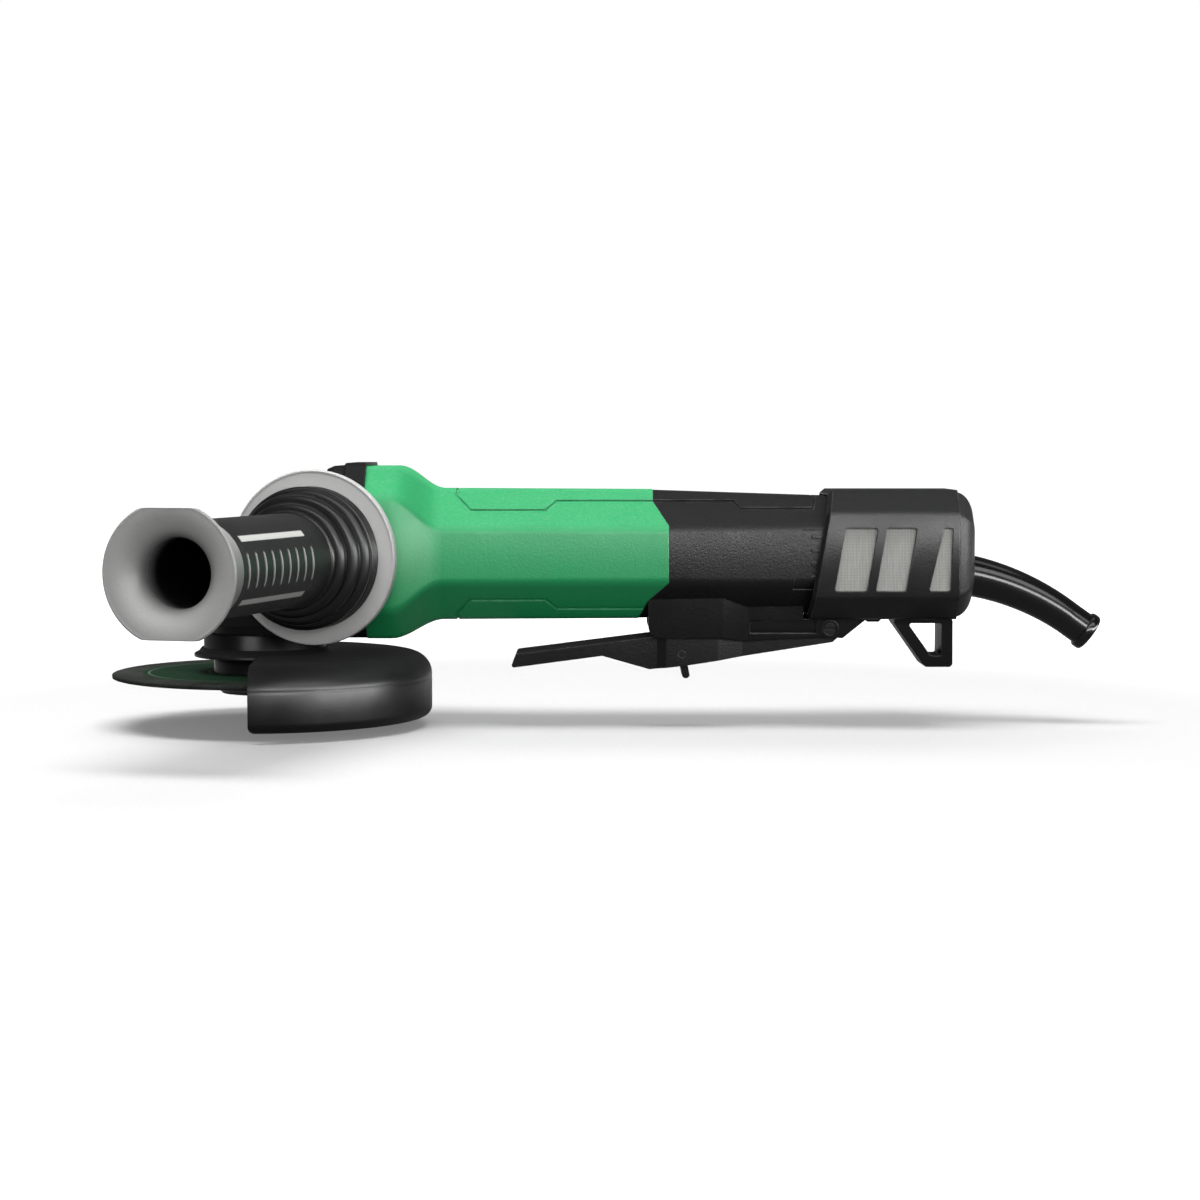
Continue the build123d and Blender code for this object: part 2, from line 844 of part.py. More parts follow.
def handle_damper():
    """The stepped rubber between ring and grip, with fine grooves on its straight part."""
    outline = [(bolt_radius + 2.0, ring_thick), (damper_radius - 0.8, ring_thick)]
    grooves = 6
    start = ring_thick + 0.8
    step = (damper_straight - start - 2.0) / grooves
    for index in range(grooves):
        z = start + index * step
        outline += [
            (damper_radius, z),
            (damper_radius, z + 0.62 * step),
            (damper_radius - damper_groove, z + 0.75 * step),
            (damper_radius - damper_groove, z + 0.9 * step),
        ]
    span = damper_end - damper_straight
    small = grip_radius + 0.5
    middle = (damper_radius + small) / 2
    outline += rounded_step(damper_radius - 0.4, damper_straight + 0.1 * span, 2.2)
    outline += rounded_step(middle + 0.4, damper_straight + 0.48 * span, 2.2)
    outline += rounded_step(small, damper_straight + 0.82 * span, 2.0)
    outline += [
        (core_radius + seat_gap, damper_end),
        (core_radius + seat_gap, core_start),
        (bolt_radius + 2.0, core_start),
    ]
    return on_handle(spun_z(outline))


def handle_core():
    """The stiff tube inside the grip, with a floor under the bolt head."""
    top = horn_end - horn_depth
    return on_handle(spun_z([
        (bolt_radius + seat_gap, core_start),
        (core_radius, core_start),
        (core_radius, top),
        (core_bore, top),
        (core_bore, core_start + core_pocket),
        (core_bore - 1.0, core_start + core_pocket),
        (core_bore - 1.0, core_start + core_floor),
        (bolt_radius + seat_gap, core_start + core_floor),
    ]))


def handle_grip():
    """The rubber sleeve of the grip, with a row of short raised ribs to the front and to the rear."""
    inner = core_radius + seat_gap
    sleeve = spun_z([
        (inner, damper_end),
        (grip_radius, damper_end),
        (grip_radius, grip_end),
        (inner, grip_end),
    ])
    row = Pos(0, 0, (damper_end + grip_end) / 2) * Box(4 * grip_radius, 2 * grip_rib_half, grip_end)
    for index in range(grip_ribs):
        z = grip_rib_start + index * grip_rib_pitch
        rib = spun_z([
            (inner, z),
            (grip_radius, z),
            (grip_radius + grip_rib, z + 0.3),
            (grip_radius + grip_rib, z + 1.1),
            (grip_radius, z + 1.4),
            (inner, z + 1.4),
        ])
        sleeve += rib & row
    return on_handle(sleeve)


def handle_horn():
    """The light flared end of the handle, open to the hollow core."""
    seat = horn_end - horn_depth
    start = grip_radius + 0.3
    flare = [
        (
            core_bore + (horn_mouth - core_bore) * (1 - math.cos(math.radians(a))),
            seat + (horn_depth - 0.6) * math.sin(math.radians(a)),
        )
        for a in range(75, 14, -15)
    ]
    outline = [
        (core_radius + seat_gap, grip_end),
        (start, grip_end),
        (start + 0.05 * (horn_radius - start), grip_end + 0.35 * (horn_end - grip_end)),
        (start + 0.22 * (horn_radius - start), grip_end + 0.62 * (horn_end - grip_end)),
        (start + 0.55 * (horn_radius - start), grip_end + 0.82 * (horn_end - grip_end)),
        (horn_radius - 0.4, horn_end - 1.8),
        (horn_radius, horn_end - 1.1),
        (horn_radius - 0.9, horn_end),
        (horn_mouth, horn_end),
    ] + flare + [(core_bore, seat), (core_radius + seat_gap, seat)]
    horn = spun_z(outline)
    middle = (grip_end + horn_end) / 2
    horn &= Pos(0, 0, middle) * Box(3 * horn_radius, 2 * horn_flat, horn_end)
    return on_handle(horn)


def housing_half_at(x):
    """The housing's half height along its S shaped shoulder."""
    share = min(max((x - flange_rear) / (shoulder_rear - flange_rear), 0), 1)
    blend = (1 - math.cos(math.pi * share)) / 2
    return housing_half + (barrel_half - housing_half) * blend


def housing_section(x, half, inset, rounding):
    """A section of the motor housing, moved inwards by an inset."""
    share = (housing_half - half) / (housing_half - barrel_half)
    corner = flange_corner + (barrel_half * regular_corner - flange_corner) * share
    top = half - inset + flange_top_lift * (1 - share)
    low = inset - half + flange_low_lift * (1 - share)
    return section(x, half - inset, top, low, corner - wall_corner * inset, rounding)


def housing_shape(inset, rear):
    """The motor housing's form from its flange to the rear, moved inwards by an inset."""
    rounding = 5.0 - 0.5 * inset
    slope = (barrel_half - barrel_rear_half) / (split_mid_x - shoulder_rear)
    rear_half = barrel_half - slope * (rear - shoulder_rear)
    flange = extrude(housing_section(case_rear, housing_half, inset, rounding), flange_rear - case_rear)
    steps = 10
    stations = [flange_rear + (shoulder_rear - flange_rear) * n / steps for n in range(steps + 1)]
    stations = [flange_rear - shoulder_lead] + stations
    shoulder = loft([housing_section(x, housing_half_at(x), inset, rounding) for x in stations])
    barrel = loft([
        housing_section(shoulder_rear, barrel_half, inset, rounding),
        even_section(rear, rear_half - inset, (rear_half * regular_corner) - wall_corner * inset, rounding),
    ], ruled=True)
    return flange + shoulder + barrel


def split_side(rear):
    """All that lies in front of the split line, or behind it."""
    far = 600.0 if rear else -200.0
    reach = 2 * rim_half
    return side_cut([
        (far, reach),
        (split_top_x, reach),
        (split_top_x, split_top_z),
        (split_mid_x, split_side_z),
        (split_mid_x, 1 - split_side_z),
        ((split_mid_x + split_low_x) / 2 - 2.0, split_low_z),
        (split_low_x, split_low_z - 8.0),
        (split_low_x, -reach),
        (far, -reach),
    ], reach)


def groove_strip(points):
    """A thin strip along a line in X and Z, through the whole width."""
    parts = []
    for (x0, z0), (x1, z1) in zip(points, points[1:]):
        length = math.hypot(x1 - x0, z1 - z0)
        angle = math.degrees(math.atan2(z1 - z0, x1 - x0))
        bar = Box(length + groove_width, 4 * rim_half, groove_width)
        parts.append(Pos((x0 + x1) / 2, 0, (z0 + z1) / 2) * Rot(0, -angle, 0) * bar)
    return parts[0] + parts[1:]


def panel_lines(sign):
    """The engraved line along the upper or the lower side of the housing."""
    return groove_strip([
        (panel_start, sign * barrel_half),
        (panel_start, sign * (barrel_half - 3.0)),
        (panel_turn, sign * panel_in),
        (panel_step, sign * panel_in),
        (panel_rise, sign * panel_out),
        (split_mid_x + 1.0, sign * panel_out),
    ])


def motor_housing():
    """The green housing, cut along the split line, with screw bosses and panel lines."""
    outer = housing_shape(0, split_mid_x + 1)
    body = outer - housing_shape(housing_wall, split_mid_x + 2)
    for y in (-case_screw_offset, case_screw_offset):
        for z in (-case_screw_offset, case_screw_offset):
            body += rod_x(case_screw_head + 1.4, case_rear, flange_rear + 3.0, y, z) & outer
    for y in (-case_screw_offset, case_screw_offset):
        for z in (-case_screw_offset, case_screw_offset):
            hole = rim_front + case_screw_length + 1.0
            body -= rod_x(case_screw_radius + press_gap, case_rear - 1, hole, y, z)
    skin = outer - housing_shape(groove_depth, split_mid_x + 2)
    for sign in (-1, 1):
        body -= skin & panel_lines(sign)
    return body & split_side(False)


def stator_core():
    """The laminated stator ring with its slots."""
    core = rod_x(barrel_rear_half - housing_wall - seat_gap, stator_front, stator_rear)
    core -= rod_x(stator_bore, stator_front - 1, stator_rear + 1)
    for index in range(slots):
        core -= Rot(360 * index / slots, 0, 0) * slot_bar(0)
    return core


def slot_bar(gap):
    """The space of one stator slot, made smaller by a gap on its sides."""
    half = slot_width / 2 - gap
    return block(stator_front, stator_rear, -half, half, slot_inner + gap, slot_outer - gap)


def stator_windings():
    """The copper in the slots, joined by a ring of end turns at each end."""
    front = stator_front - winding_overhang
    rear = stator_rear + winding_overhang
    coil = rod_x(slot_outer, front, stator_front) + rod_x(slot_outer, stator_rear, rear)
    coil -= rod_x(slot_inner + seat_gap, front - 1, rear + 1)
    coil = fillet(coil.edges().group_by(Axis.X)[0] + coil.edges().group_by(Axis.X)[-1], 1.6)
    for index in range(slots):
        coil += Rot(360 * index / slots, 0, 0) * slot_bar(seat_gap)
    return coil


def rotor_shaft():
    """The motor shaft from the pinion to the rear bearing."""
    front = (ring_pitch_radius + dedendum * math.sin(pinion_cone)) * inner_share
    front_bearing_rear = front_bearing_front + front_bearing_width
    rear_end = rear_bearing_front + rear_bearing_width
    return spun_x([
        (front - pinion_nut_thick - 0.6, 0),
        (front - pinion_nut_thick - 0.6, pinion_bore),
        (pinion_hub_rear, pinion_bore),
        (pinion_hub_rear, upper_journal - run_gap),
        (front_bearing_rear + 1.0, upper_journal - run_gap),
        (front_bearing_rear + 1.0, shaft_radius),
        (rear_bearing_front - 2.0, shaft_radius),
        (rear_bearing_front - 2.0, rear_bearing_bore - run_gap),
        (rear_end + 0.6, rear_bearing_bore - run_gap),
        (rear_end + 0.6, 0),
    ])


def magnet_spot(index, gap):
    """The space of one magnet in the rotor, grown by a gap."""
    middle = (shaft_radius + rotor_radius) / 2
    half = magnet_thick / 2 + gap
    bar = block(stator_front + 1, stator_rear - 1, -magnet_width / 2 - gap, magnet_width / 2 + gap,
                middle - half, middle + half)
    return Rot(360 * index / magnets, 0, 0) * bar


def rotor_core():
    """The laminated rotor with its magnet pockets."""
    core = rod_x(rotor_radius, stator_front + 1, stator_rear - 1)
    core -= rod_x(shaft_radius + press_gap, stator_front, stator_rear)
    for index in range(magnets):
        core -= magnet_spot(index, press_gap)
    return core


def rotor_magnets():
    """The flat magnets inside the rotor."""
    return [magnet_spot(index, 0) for index in range(magnets)]


def cooling_fan():
    """The fan on the shaft, with a plate in front and straight blades."""
    rear = fan_front + fan_length
    fan = rod_x(shaft_radius + 3.0, fan_front, rear) + rod_x(fan_radius, fan_front, fan_front + fan_plate)
    half = fan_blade_thick / 2
    for index in range(fan_blades):
        blade = block(fan_front, rear, -half, half, shaft_radius + 2.0, fan_radius - 0.6)
        fan += Rot(360 * index / fan_blades, 0, 0) * Pos(0, 3.0, 0) * blade
    return fan - rod_x(shaft_radius + press_gap, fan_front - 1, rear + 1)


def fan_baffle():
    """The plate that guides the air from the motor into the fan."""
    rear = baffle_front + baffle_thick
    outline = housing_section(rear, housing_half_at(rear), housing_wall + seat_gap, 3.0)
    return extrude(outline, -baffle_thick) - rod_x(baffle_bore, baffle_front - 1, rear + 1)


def rear_bearing_bracket():
    """The plate across the housing that holds the rear bearing."""
    rear = rear_bearing_front + rear_bearing_width
    hub = rear_bearing_outer + 2.4
    front = rear_bearing_front - 2
    plate = rod_x(barrel_rear_half - housing_wall - seat_gap, front, front + bracket_plate)
    for index in range(1, bracket_vents):
        turn = Rot(360 * index / bracket_vents, 0, 0)
        vent_z = (hub + barrel_rear_half - housing_wall) / 2
        plate -= turn * rod_x(3.2, rear_bearing_front - 4, rear, 0, vent_z)
    lead_half = lead_spacing + lead_radius + 1.0
    plate -= block(rear_bearing_front - 4, rear, -lead_half, lead_half, lead_z - 2.5, lead_z + 2.5)
    body = plate + rod_x(hub, rear_bearing_front - 2, rear)
    body -= rod_x(rear_bearing_outer + press_gap, rear_bearing_front, rear + 1)
    return body - rod_x(shaft_radius + slide_gap, rear_bearing_front - 4, rear)


def tail_shape(inset):
    """The tail's outer form from its tongue to the dust cover, moved inwards by an inset."""
    rounding = 5.0 - 0.6 * inset
    slope = (barrel_half - barrel_rear_half) / (split_mid_x - shoulder_rear)
    front_half = barrel_half - slope * (tongue_front - shoulder_rear)
    cut = wall_corner * inset
    return loft([
        even_section(tongue_front, front_half - inset, front_half * regular_corner - cut, rounding),
        section(tail_rear, tail_end_half_y - inset, tail_end_top - inset, tail_end_low + inset,
                tail_end_corner - cut, rounding),
    ], ruled=True)


def tail_low_at(x):
    """The height of the tail's underside along its taper."""
    slope = (barrel_half - barrel_rear_half) / (split_mid_x - shoulder_rear)
    front_low = slope * (tongue_front - shoulder_rear) - barrel_half
    return front_low + (tail_end_low - front_low) * (x - tongue_front) / (tail_rear - tongue_front)


def switch_low():
    """The underside of the switch, on the floor of the tail."""
    return tail_low_at(switch_x + switch_length / 2) + tail_wall + seat_gap


def tail_neck(inset, rear):
    """The narrow rear of the tail inside the dust cover."""
    front = even_section(dust_front_low, neck_half - inset, neck_corner - wall_corner * inset, 2.5)
    return extrude(front, rear - dust_front_low)


def bracket_plan(inset, low, high):
    """The switch bracket's plan form, moved inwards by an inset."""
    wide = switch_block_half - inset
    narrow = switch_rail_half - inset
    front = switch_block_front + inset
    return plan_cut([
        (front, -wide),
        (switch_block_rear, -wide),
        (switch_rail_front, -narrow),
        (switch_rail_rear, -narrow),
        (switch_rail_rear, narrow),
        (switch_rail_front, narrow),
        (switch_block_rear, wide),
        (front, wide),
    ], low, high)


def bracket_side():
    """The switch bracket's side outline, with its rounded front and the pivot boss."""
    top = split_low_z + 4.0
    rear = switch_rail_rear
    outline = side_cut([
        (switch_block_front, top),
        (rear, top),
        (rear, tail_end_low - 1.0),
        (pivot_x + 5.2, switch_rail_low + 0.4),
        (pivot_x - 1.0, switch_rail_low + 1.0),
        (switch_rail_front - 1.8, switch_rail_low - 0.5),
        (switch_block_rear, switch_block_low),
        (switch_block_front, switch_block_low),
    ], 2 * switch_block_half)
    corner = [edge for edge in outline.edges().filter_by(Axis.Y)
              if abs(edge.center().X - switch_block_front) < 0.1
              and abs(edge.center().Z - switch_block_low) < 0.1]
    return fillet(corner, 4.5)


def tail_shells():
    """Both half shells of the tail as one form, before they are parted at Y = 0."""
    outer = tail_shape(0)
    body = outer & split_side(True)
    tongue = tail_shape(housing_wall + seat_gap)
    body += tongue
    bracket = bracket_plan(0, switch_rail_low - 6, split_low_z + 4) & bracket_side()
    cavity = bracket_plan(switch_wall, switch_rail_low - 8, split_low_z + 4) - outer
    bracket -= cavity
    bracket -= block(dust_front_low - 1, 400, -99, 99, dust_low - seat_gap, 99)
    paddle_half = paddle_tip_half + paddle_side_gap
    mouth = switch_block_front + 6
    bracket -= block(switch_block_front - 1, mouth, -paddle_half, paddle_half, -99, -barrel_rear_half)
    body += bracket & split_side(True)
    body += tail_neck(0, neck_rear)
    body -= tail_shape(housing_wall + seat_gap + tongue_wall)
    body -= tail_shape(tail_wall) & block(split_mid_x + 3, tail_rear + 1, -99, 99, -99, 99)
    body -= tail_neck(neck_wall, neck_rear - neck_wall)
    for boss_x, boss_z in shell_screw_places():
        boss = rod_y(shell_boss, -99, 99, boss_x, boss_z)
        body += boss & (outer + tail_neck(0, neck_rear))
    ledge = block(tray_front + 4, tray_rear - 4, -99, 99, tray_low - 2, tray_low)
    ledge -= block(tray_front, tray_rear, 3 - tray_half, tray_half - 3, tray_low - 3, tray_low + 1)
    rib_reach = switch_length / 2 + 2
    ribs = block(switch_x - rib_reach, switch_x + rib_reach, -99, 99, -99, switch_top - 2)
    ribs -= block(switch_x - switch_length / 2, switch_x + switch_length / 2, -99, 99, -99, switch_top)
    body += (ledge + ribs) & outer
    for boss_x, boss_z in shell_screw_places():
        body -= rod_y(shell_screw_radius + press_gap, -shell_head_y() - 0.5, 99, boss_x, boss_z)
        body -= rod_y(shell_screw_head + seat_gap, shell_head_y(), 99, boss_x, boss_z)
    body += pivot_bosses()
    body -= rod_y(pivot_pin_radius + press_gap, -99, 99, pivot_x, pivot_z)
    plunger_hole = plunger_radius + 3.0
    body -= rod_z(plunger_hole, -32, switch_low(), switch_x)
    body -= cord_path_rod(cord_root_radius + seat_gap, 20)
    for sign in (-1, 1):
        hole = rod_x(cap_screw_radius + press_gap, neck_rear - 20, neck_rear + 1)
        body -= Pos(0, sign * cap_screw_y, cap_screw_z) * hole
    return panelled(body, outer)


def panelled(body, outer):
    """The shells with the engraved line, the ribbed panel and the pockets in the rails."""
    skin = outer - tail_shape(groove_depth)
    lines = groove_strip([
        (split_top_x, panel_out),
        (tail_line_step, panel_out),
        (tail_line_rise, tail_line_in),
        (tail_line_end, tail_line_in),
        (tail_line_end + 2.2, barrel_half),
    ])
    body -= skin & lines
    panel = side_cut([
        (tail_rear - 13.2, panel_top),
        (tail_rear, panel_top),
        (tail_rear, panel_low),
        (tail_rear - 17.2, panel_low),
    ], 99)
    for index in range(panel_ribs):
        z = panel_rib_top - index * panel_rib_pitch
        panel -= block(tail_rear - 9.8, tail_rear + 1, -99, 99, z - panel_rib / 2, z + panel_rib / 2)
    body -= (outer - tail_shape(panel_depth)) & panel
    for side in (-1, 1):
        y_low, y_high = sorted((side * (switch_rail_half - 1.0), side * 99))
        low = switch_rail_low + 2.4
        body -= block(switch_rail_front + 1, pivot_x - 5.5, y_low, y_high, low, tail_end_low - 3.5)
    return body


def pivot_bosses():
    """Round raised rims where the paddle's pin ends, on both sides of the bracket."""
    reach = switch_rail_half + 0.6
    rims = rod_y(pivot_boss_radius, -reach, reach, pivot_x, pivot_z)
    inner = switch_rail_half - switch_wall
    return rims - rod_y(pivot_boss_radius + 1, -inner, inner, pivot_x, pivot_z)


def shell_screw_places():
    """X and Z of the screws that join the two half shells."""
    return [
        (split_mid_x + 5.0, lead_z - 9.0),
        (tail_rear - 6.0, tail_end_top - 7.5),
        (tail_rear - 6.0, tail_end_low + 8.5),
        (neck_rear - 12.0, neck_half - 6.5),
        (neck_rear - 12.0, 6.5 - neck_half),
    ]


def shell_head_y():
    """The Y of the seat under the shell screws' heads."""
    return neck_half - neck_corner - 3.0


def tail_screws():
    """The screws that join the two half shells, from the far side."""
    seat = shell_head_y()
    pieces = []
    for x, z in shell_screw_places():
        screw = rod_y(shell_screw_radius, -seat, seat, x, z)
        screw += rod_y(shell_screw_head, seat, seat + 2.4, x, z)
        pieces.append(screw)
    return pieces


def tail_shell(side):
    """One half shell, on the side of Y that the sign gives."""
    y_low, y_high = sorted((0, side * 99))
    return tail_shells() & block(0, 400, y_low, y_high, -99, 99)


def dust_cover():
    """The rear cover with three leaning windows on each side, and its latch nub below."""
    front = dust_front_low - 4
    body = extrude(section(front, dust_half_y, dust_top, dust_low, dust_corner, 3.0), dust_rear - front)
    slant = side_cut([
        (dust_front_top, 99),
        (dust_front_top, dust_top),
        (dust_front_low, dust_low),
        (dust_front_low, -99),
        (dust_rear + 9, -99),
        (dust_rear + 9, 99),
    ], 99)
    body &= slant
    face = body.faces().sort_by(Axis.X)[0]
    body = chamfer(face.outer_wire().edges(), 1.6)
    inner = section(front - 1, dust_half_y - dust_wall, dust_top - dust_wall, dust_low + dust_wall,
                    dust_corner - wall_corner * dust_wall, 2.0)
    body -= extrude(inner, dust_rear - front + 9)
    for corners in window_corners():
        body -= window_cut(*corners)
    nub_x = (dust_front_low + foot_front) / 2 + 11.0
    nub = block(nub_x - 3.5, nub_x + 3.5, -5, 5, dust_low - 2.0, dust_low)
    return body + chamfer(nub.edges().filter_by(Axis.Y).group_by(Axis.Z)[0], 1.2)


def window_corners():
    """The X of each window's corners: front and rear at its foot, then front and rear at its top."""
    first = dust_front_top + 1.8
    second = dust_front_top + 18.4
    return [
        (first, first + 13.1, first + window_lean, first + window_lean + 13.1),
        (second, second + 12.2, second + window_lean, second + window_lean + 12.2),
        (dust_rear - 12.2, dust_rear - 3.5, dust_rear - 6.3, dust_rear - 2.6),
    ]


def window_cut(low_front, low_rear, top_front, top_rear):
    """One leaning window through both sides of the dust cover."""
    return side_cut([
        (low_front, window_low),
        (low_rear, window_low),
        (top_rear, window_top),
        (top_front, window_top),
    ], 99, 1.0)


def filter_mesh():
    """The two mesh plates behind the windows."""
    pieces = []
    rear = dust_rear - 1.0
    front = dust_front_top
    for side in (-1, 1):
        face = side * (dust_half_y - dust_wall)
        y_low, y_high = sorted((face, face - side * mesh_thick))
        pieces.append(block(front, rear, y_low, y_high, window_low - mesh_margin, window_top + mesh_margin))
    return pieces


def cap_section(x, inset, corner_cut, rounding):
    """A section of the rear cap, moved inwards from the dust cover by an inset."""
    corner = dust_corner - corner_cut
    return section(x, dust_half_y - inset, dust_top - inset, dust_low + inset, corner, rounding)


def rear_cap():
    """The domed cap that closes the rear, with the hole for the cord guard."""
    depth = cap_rear - dust_rear
    body = loft([
        cap_section(dust_rear, 0.9, 0.0, 3.0),
        cap_section(dust_rear + 0.45 * depth, 2.6, 0.0, 3.0),
        cap_section(dust_rear + 0.80 * depth, 6.4, 1.5, 2.5),
        cap_section(cap_rear, 12.0, 3.0, 2.0),
    ])
    body -= extrude(even_section(dust_rear - 1, neck_half - 4.0, neck_corner - 2.0, 2.0), cap_pocket + 1)
    for sign in (-1, 1):
        body += Pos(0, sign * cap_screw_y, cap_screw_z) * rod_x(3.4, neck_rear, dust_rear + cap_pocket)
        hole = rod_x(cap_screw_radius + press_gap, neck_rear - 1, cap_rear + 1)
        body -= Pos(0, sign * cap_screw_y, cap_screw_z) * hole
        body -= Pos(0, sign * cap_screw_y, cap_screw_z) * rod_x(3.0, dust_rear + 3.0, cap_rear + 1)
    body -= cord_path_rod(cord_root_radius + seat_gap, 20)
    return body - cord_path_ring(cord_flange + seat_gap, cord_flange_thick + 2 * seat_gap)


def cap_screws():
    """Two screws that hold the rear cap on the shells."""
    pieces = []
    for sign in (-1, 1):
        screw = rod_x(cap_screw_radius, neck_rear - 12, dust_rear + 3.0)
        screw += rod_x(2.8, dust_rear + 3.0, dust_rear + 5.0)
        pieces.append(Pos(0, sign * cap_screw_y, cap_screw_z) * screw)
    return pieces


def cord_frame():
    """The place on the cord's axis where it leaves the cap, with Z along the cord."""
    drop = math.radians(cord_drop)
    axis = (math.cos(drop), 0, -math.sin(drop))
    return Plane(origin=(cord_exit_x, 0, cord_exit_z), x_dir=(0, 1, 0), z_dir=axis).location


def cord_path_rod(radius, reach):
    """A straight rod on the cord's axis, to both sides of its exit."""
    return cord_frame() * rod_z(radius, -reach, reach)


def cord_path_ring(radius, thick):
    """A disc on the cord's axis inside the cap, where the cord guard is held."""
    middle = (dust_rear - cord_exit_x) / math.cos(math.radians(cord_drop))
    return cord_frame() * rod_z(radius, middle - thick / 2, middle + thick / 2)


def cord_guard():
    """The bent rubber sleeve of the cord, tapered, with a collar at its straight end."""
    drop = math.radians(cord_drop)
    steps = 6
    stations = []
    for index in range(steps + 1):
        share = index / steps
        turn = math.radians(cord_turn) * share
        x = cord_bend * math.sin(turn)
        z = cord_bend * (math.cos(turn) - 1)
        radius = cord_root_radius + (cord_end_radius - cord_root_radius) * share
        stations.append((x, z, turn, radius))
    outside = loft([bend_place(x, z, turn) * Circle(radius) for x, z, turn, radius in stations])
    end = bend_place(*stations[-1][:3])
    start = bend_place(0, 0, 0)
    root = (dust_rear - cord_exit_x) / math.cos(drop)
    tip = rod_z(cord_end_radius, 0, cord_straight)
    collar = rod_z(cord_collar_radius, cord_straight - cord_collar, cord_straight)
    tip += fillet(collar.edges().filter_by(GeomType.CIRCLE), 1.2)
    stem = rod_z(cord_root_radius, root - cord_flange_thick / 2, 0)
    stem += rod_z(cord_flange, root - cord_flange_thick / 2, root + cord_flange_thick / 2)
    body = start * stem + outside + end * tip
    bore_bend = loft([bend_place(x, z, turn) * Circle(cord_bore) for x, z, turn, radius in stations])
    bore = start * rod_z(cord_bore, root - 9, 0) + bore_bend + end * rod_z(cord_bore, 0, cord_straight + 5)
    return body - bore


def bend_place(x, z, turn):
    """A place along the cord guard's bend, with Z along the cord."""
    drop = math.radians(cord_drop)
    place = Vector(
        cord_exit_x + x * math.cos(drop) + z * math.sin(drop),
        0,
        cord_exit_z - x * math.sin(drop) + z * math.cos(drop),
    )
    axis = (math.cos(drop + turn), 0, -math.sin(drop + turn))
    return Plane(origin=place, x_dir=(0, 1, 0), z_dir=axis).location


def rest_foot():
    """The three sided loop that the tool rests on, and that it can hang from."""
    outer = side_cut([
        (foot_front, dust_low),
        (foot_toe, foot_low),
        (foot_rear, foot_low),
        (foot_rear, dust_low),
    ], foot_half, 1.6)
    slope = (foot_toe - foot_front) / (dust_low - foot_low)
    run = foot_bar * math.hypot(1, slope)
    top = dust_low - foot_pad
    low = foot_low + foot_bar
    left_top = foot_front + slope * foot_pad + run
    left_low = foot_front + slope * (dust_low - low) + run
    hole = side_cut([
        (left_top, top),
        (left_low, low),
        (foot_rear - foot_bar, low),
        (foot_rear - foot_bar, top),
    ], 2 * foot_half, 0.8)
    return outer - hole


def paddle_lever():
    """The paddle: a channel round the bracket's inside and a broad finger plate in front."""
    side_gap = switch_wall + paddle_side_gap
    profile = side_cut([
        (paddle_tip_x, paddle_tip_low),
        (paddle_tip_x + 2.1, paddle_tip_low + 5.7),
        (switch_block_front, -33.9),
        (pivot_x - 4, pivot_z + 3.4),
        (pivot_x + 3.4, pivot_z + 3.2),
        (pivot_x + 4.4, pivot_z - 3.0),
        (pivot_x + 1.5, pivot_z - 5.7),
        (switch_block_front + 14.6, -45.5),
        (switch_block_front + 0.5, -47.0),
        (paddle_tip_x + 37.5, -41.5),
    ], switch_block_half, 1.0)
    wide = switch_block_half - side_gap
    narrow = switch_rail_half - side_gap
    front = switch_block_front + switch_wall + 1.0
    plan = plan_cut([
        (paddle_tip_x - 1, -paddle_tip_half),
        (front, -paddle_tip_half),
        (front + 4, -wide),
        (switch_block_rear - 2, -wide),
        (switch_rail_front - 2, -narrow),
        (pivot_x + 9, -narrow),
        (pivot_x + 9, narrow),
        (switch_rail_front - 2, narrow),
        (switch_block_rear - 2, wide),
        (front + 4, wide),
        (front, paddle_tip_half),
        (paddle_tip_x - 1, paddle_tip_half),
    ], -60, -20)
    body = profile & plan
    hollow = side_cut([
        (switch_block_front + 4, -20),
        (switch_block_front + 4, -47.0 + paddle_wall),
        (switch_block_front + 14.6, -45.5 + paddle_wall),
        (pivot_x - 7, -37.1 + paddle_wall),
        (pivot_x + 9, pivot_z),
        (pivot_x + 9, -20),
    ], switch_block_half)
    inner = plan_cut([
        (switch_block_front + 4, paddle_wall - wide),
        (switch_block_rear - 2, paddle_wall - wide),
        (switch_rail_front - 2, paddle_wall - narrow),
        (pivot_x + 9, paddle_wall - narrow),
        (pivot_x + 9, narrow - paddle_wall),
        (switch_rail_front - 2, narrow - paddle_wall),
        (switch_block_rear - 2, wide - paddle_wall),
        (switch_block_front + 4, wide - paddle_wall),
    ], -60, -19)
    body -= hollow & inner
    post_low = -44.0
    post_top = switch_low() - plunger_reach - slide_gap
    body += rod_z(plunger_radius + 0.8, post_low, post_top, switch_x)
    slot = lock_lever_half + slide_gap
    body -= block(lock_lever_x - 7.5, lock_lever_x + 6.5, -slot, slot, -52, -40.0) & block(
        switch_block_front, pivot_x, -99, 99, -52, lock_lever_z - 1.5
    )
    body -= rod_y(lock_lever_pin + press_gap, -99, 99, lock_lever_x, lock_lever_z)
    return body - rod_y(pivot_pin_radius + run_gap, -99, 99, pivot_x, pivot_z)


def paddle_pivot_pin():
    """The pin that the paddle swings on, slotted at its ends."""
    reach = switch_rail_half + 0.4
    pin = rod_y(pivot_pin_radius, -reach, reach, pivot_x, pivot_z)
    for side in (-1, 1):
        y_low, y_high = sorted((side * (reach - 0.8), side * (reach + 1)))
        pin -= block(pivot_x - 9, pivot_x + 9, y_low, y_high, pivot_z - 0.4, pivot_z + 0.4)
    return pin


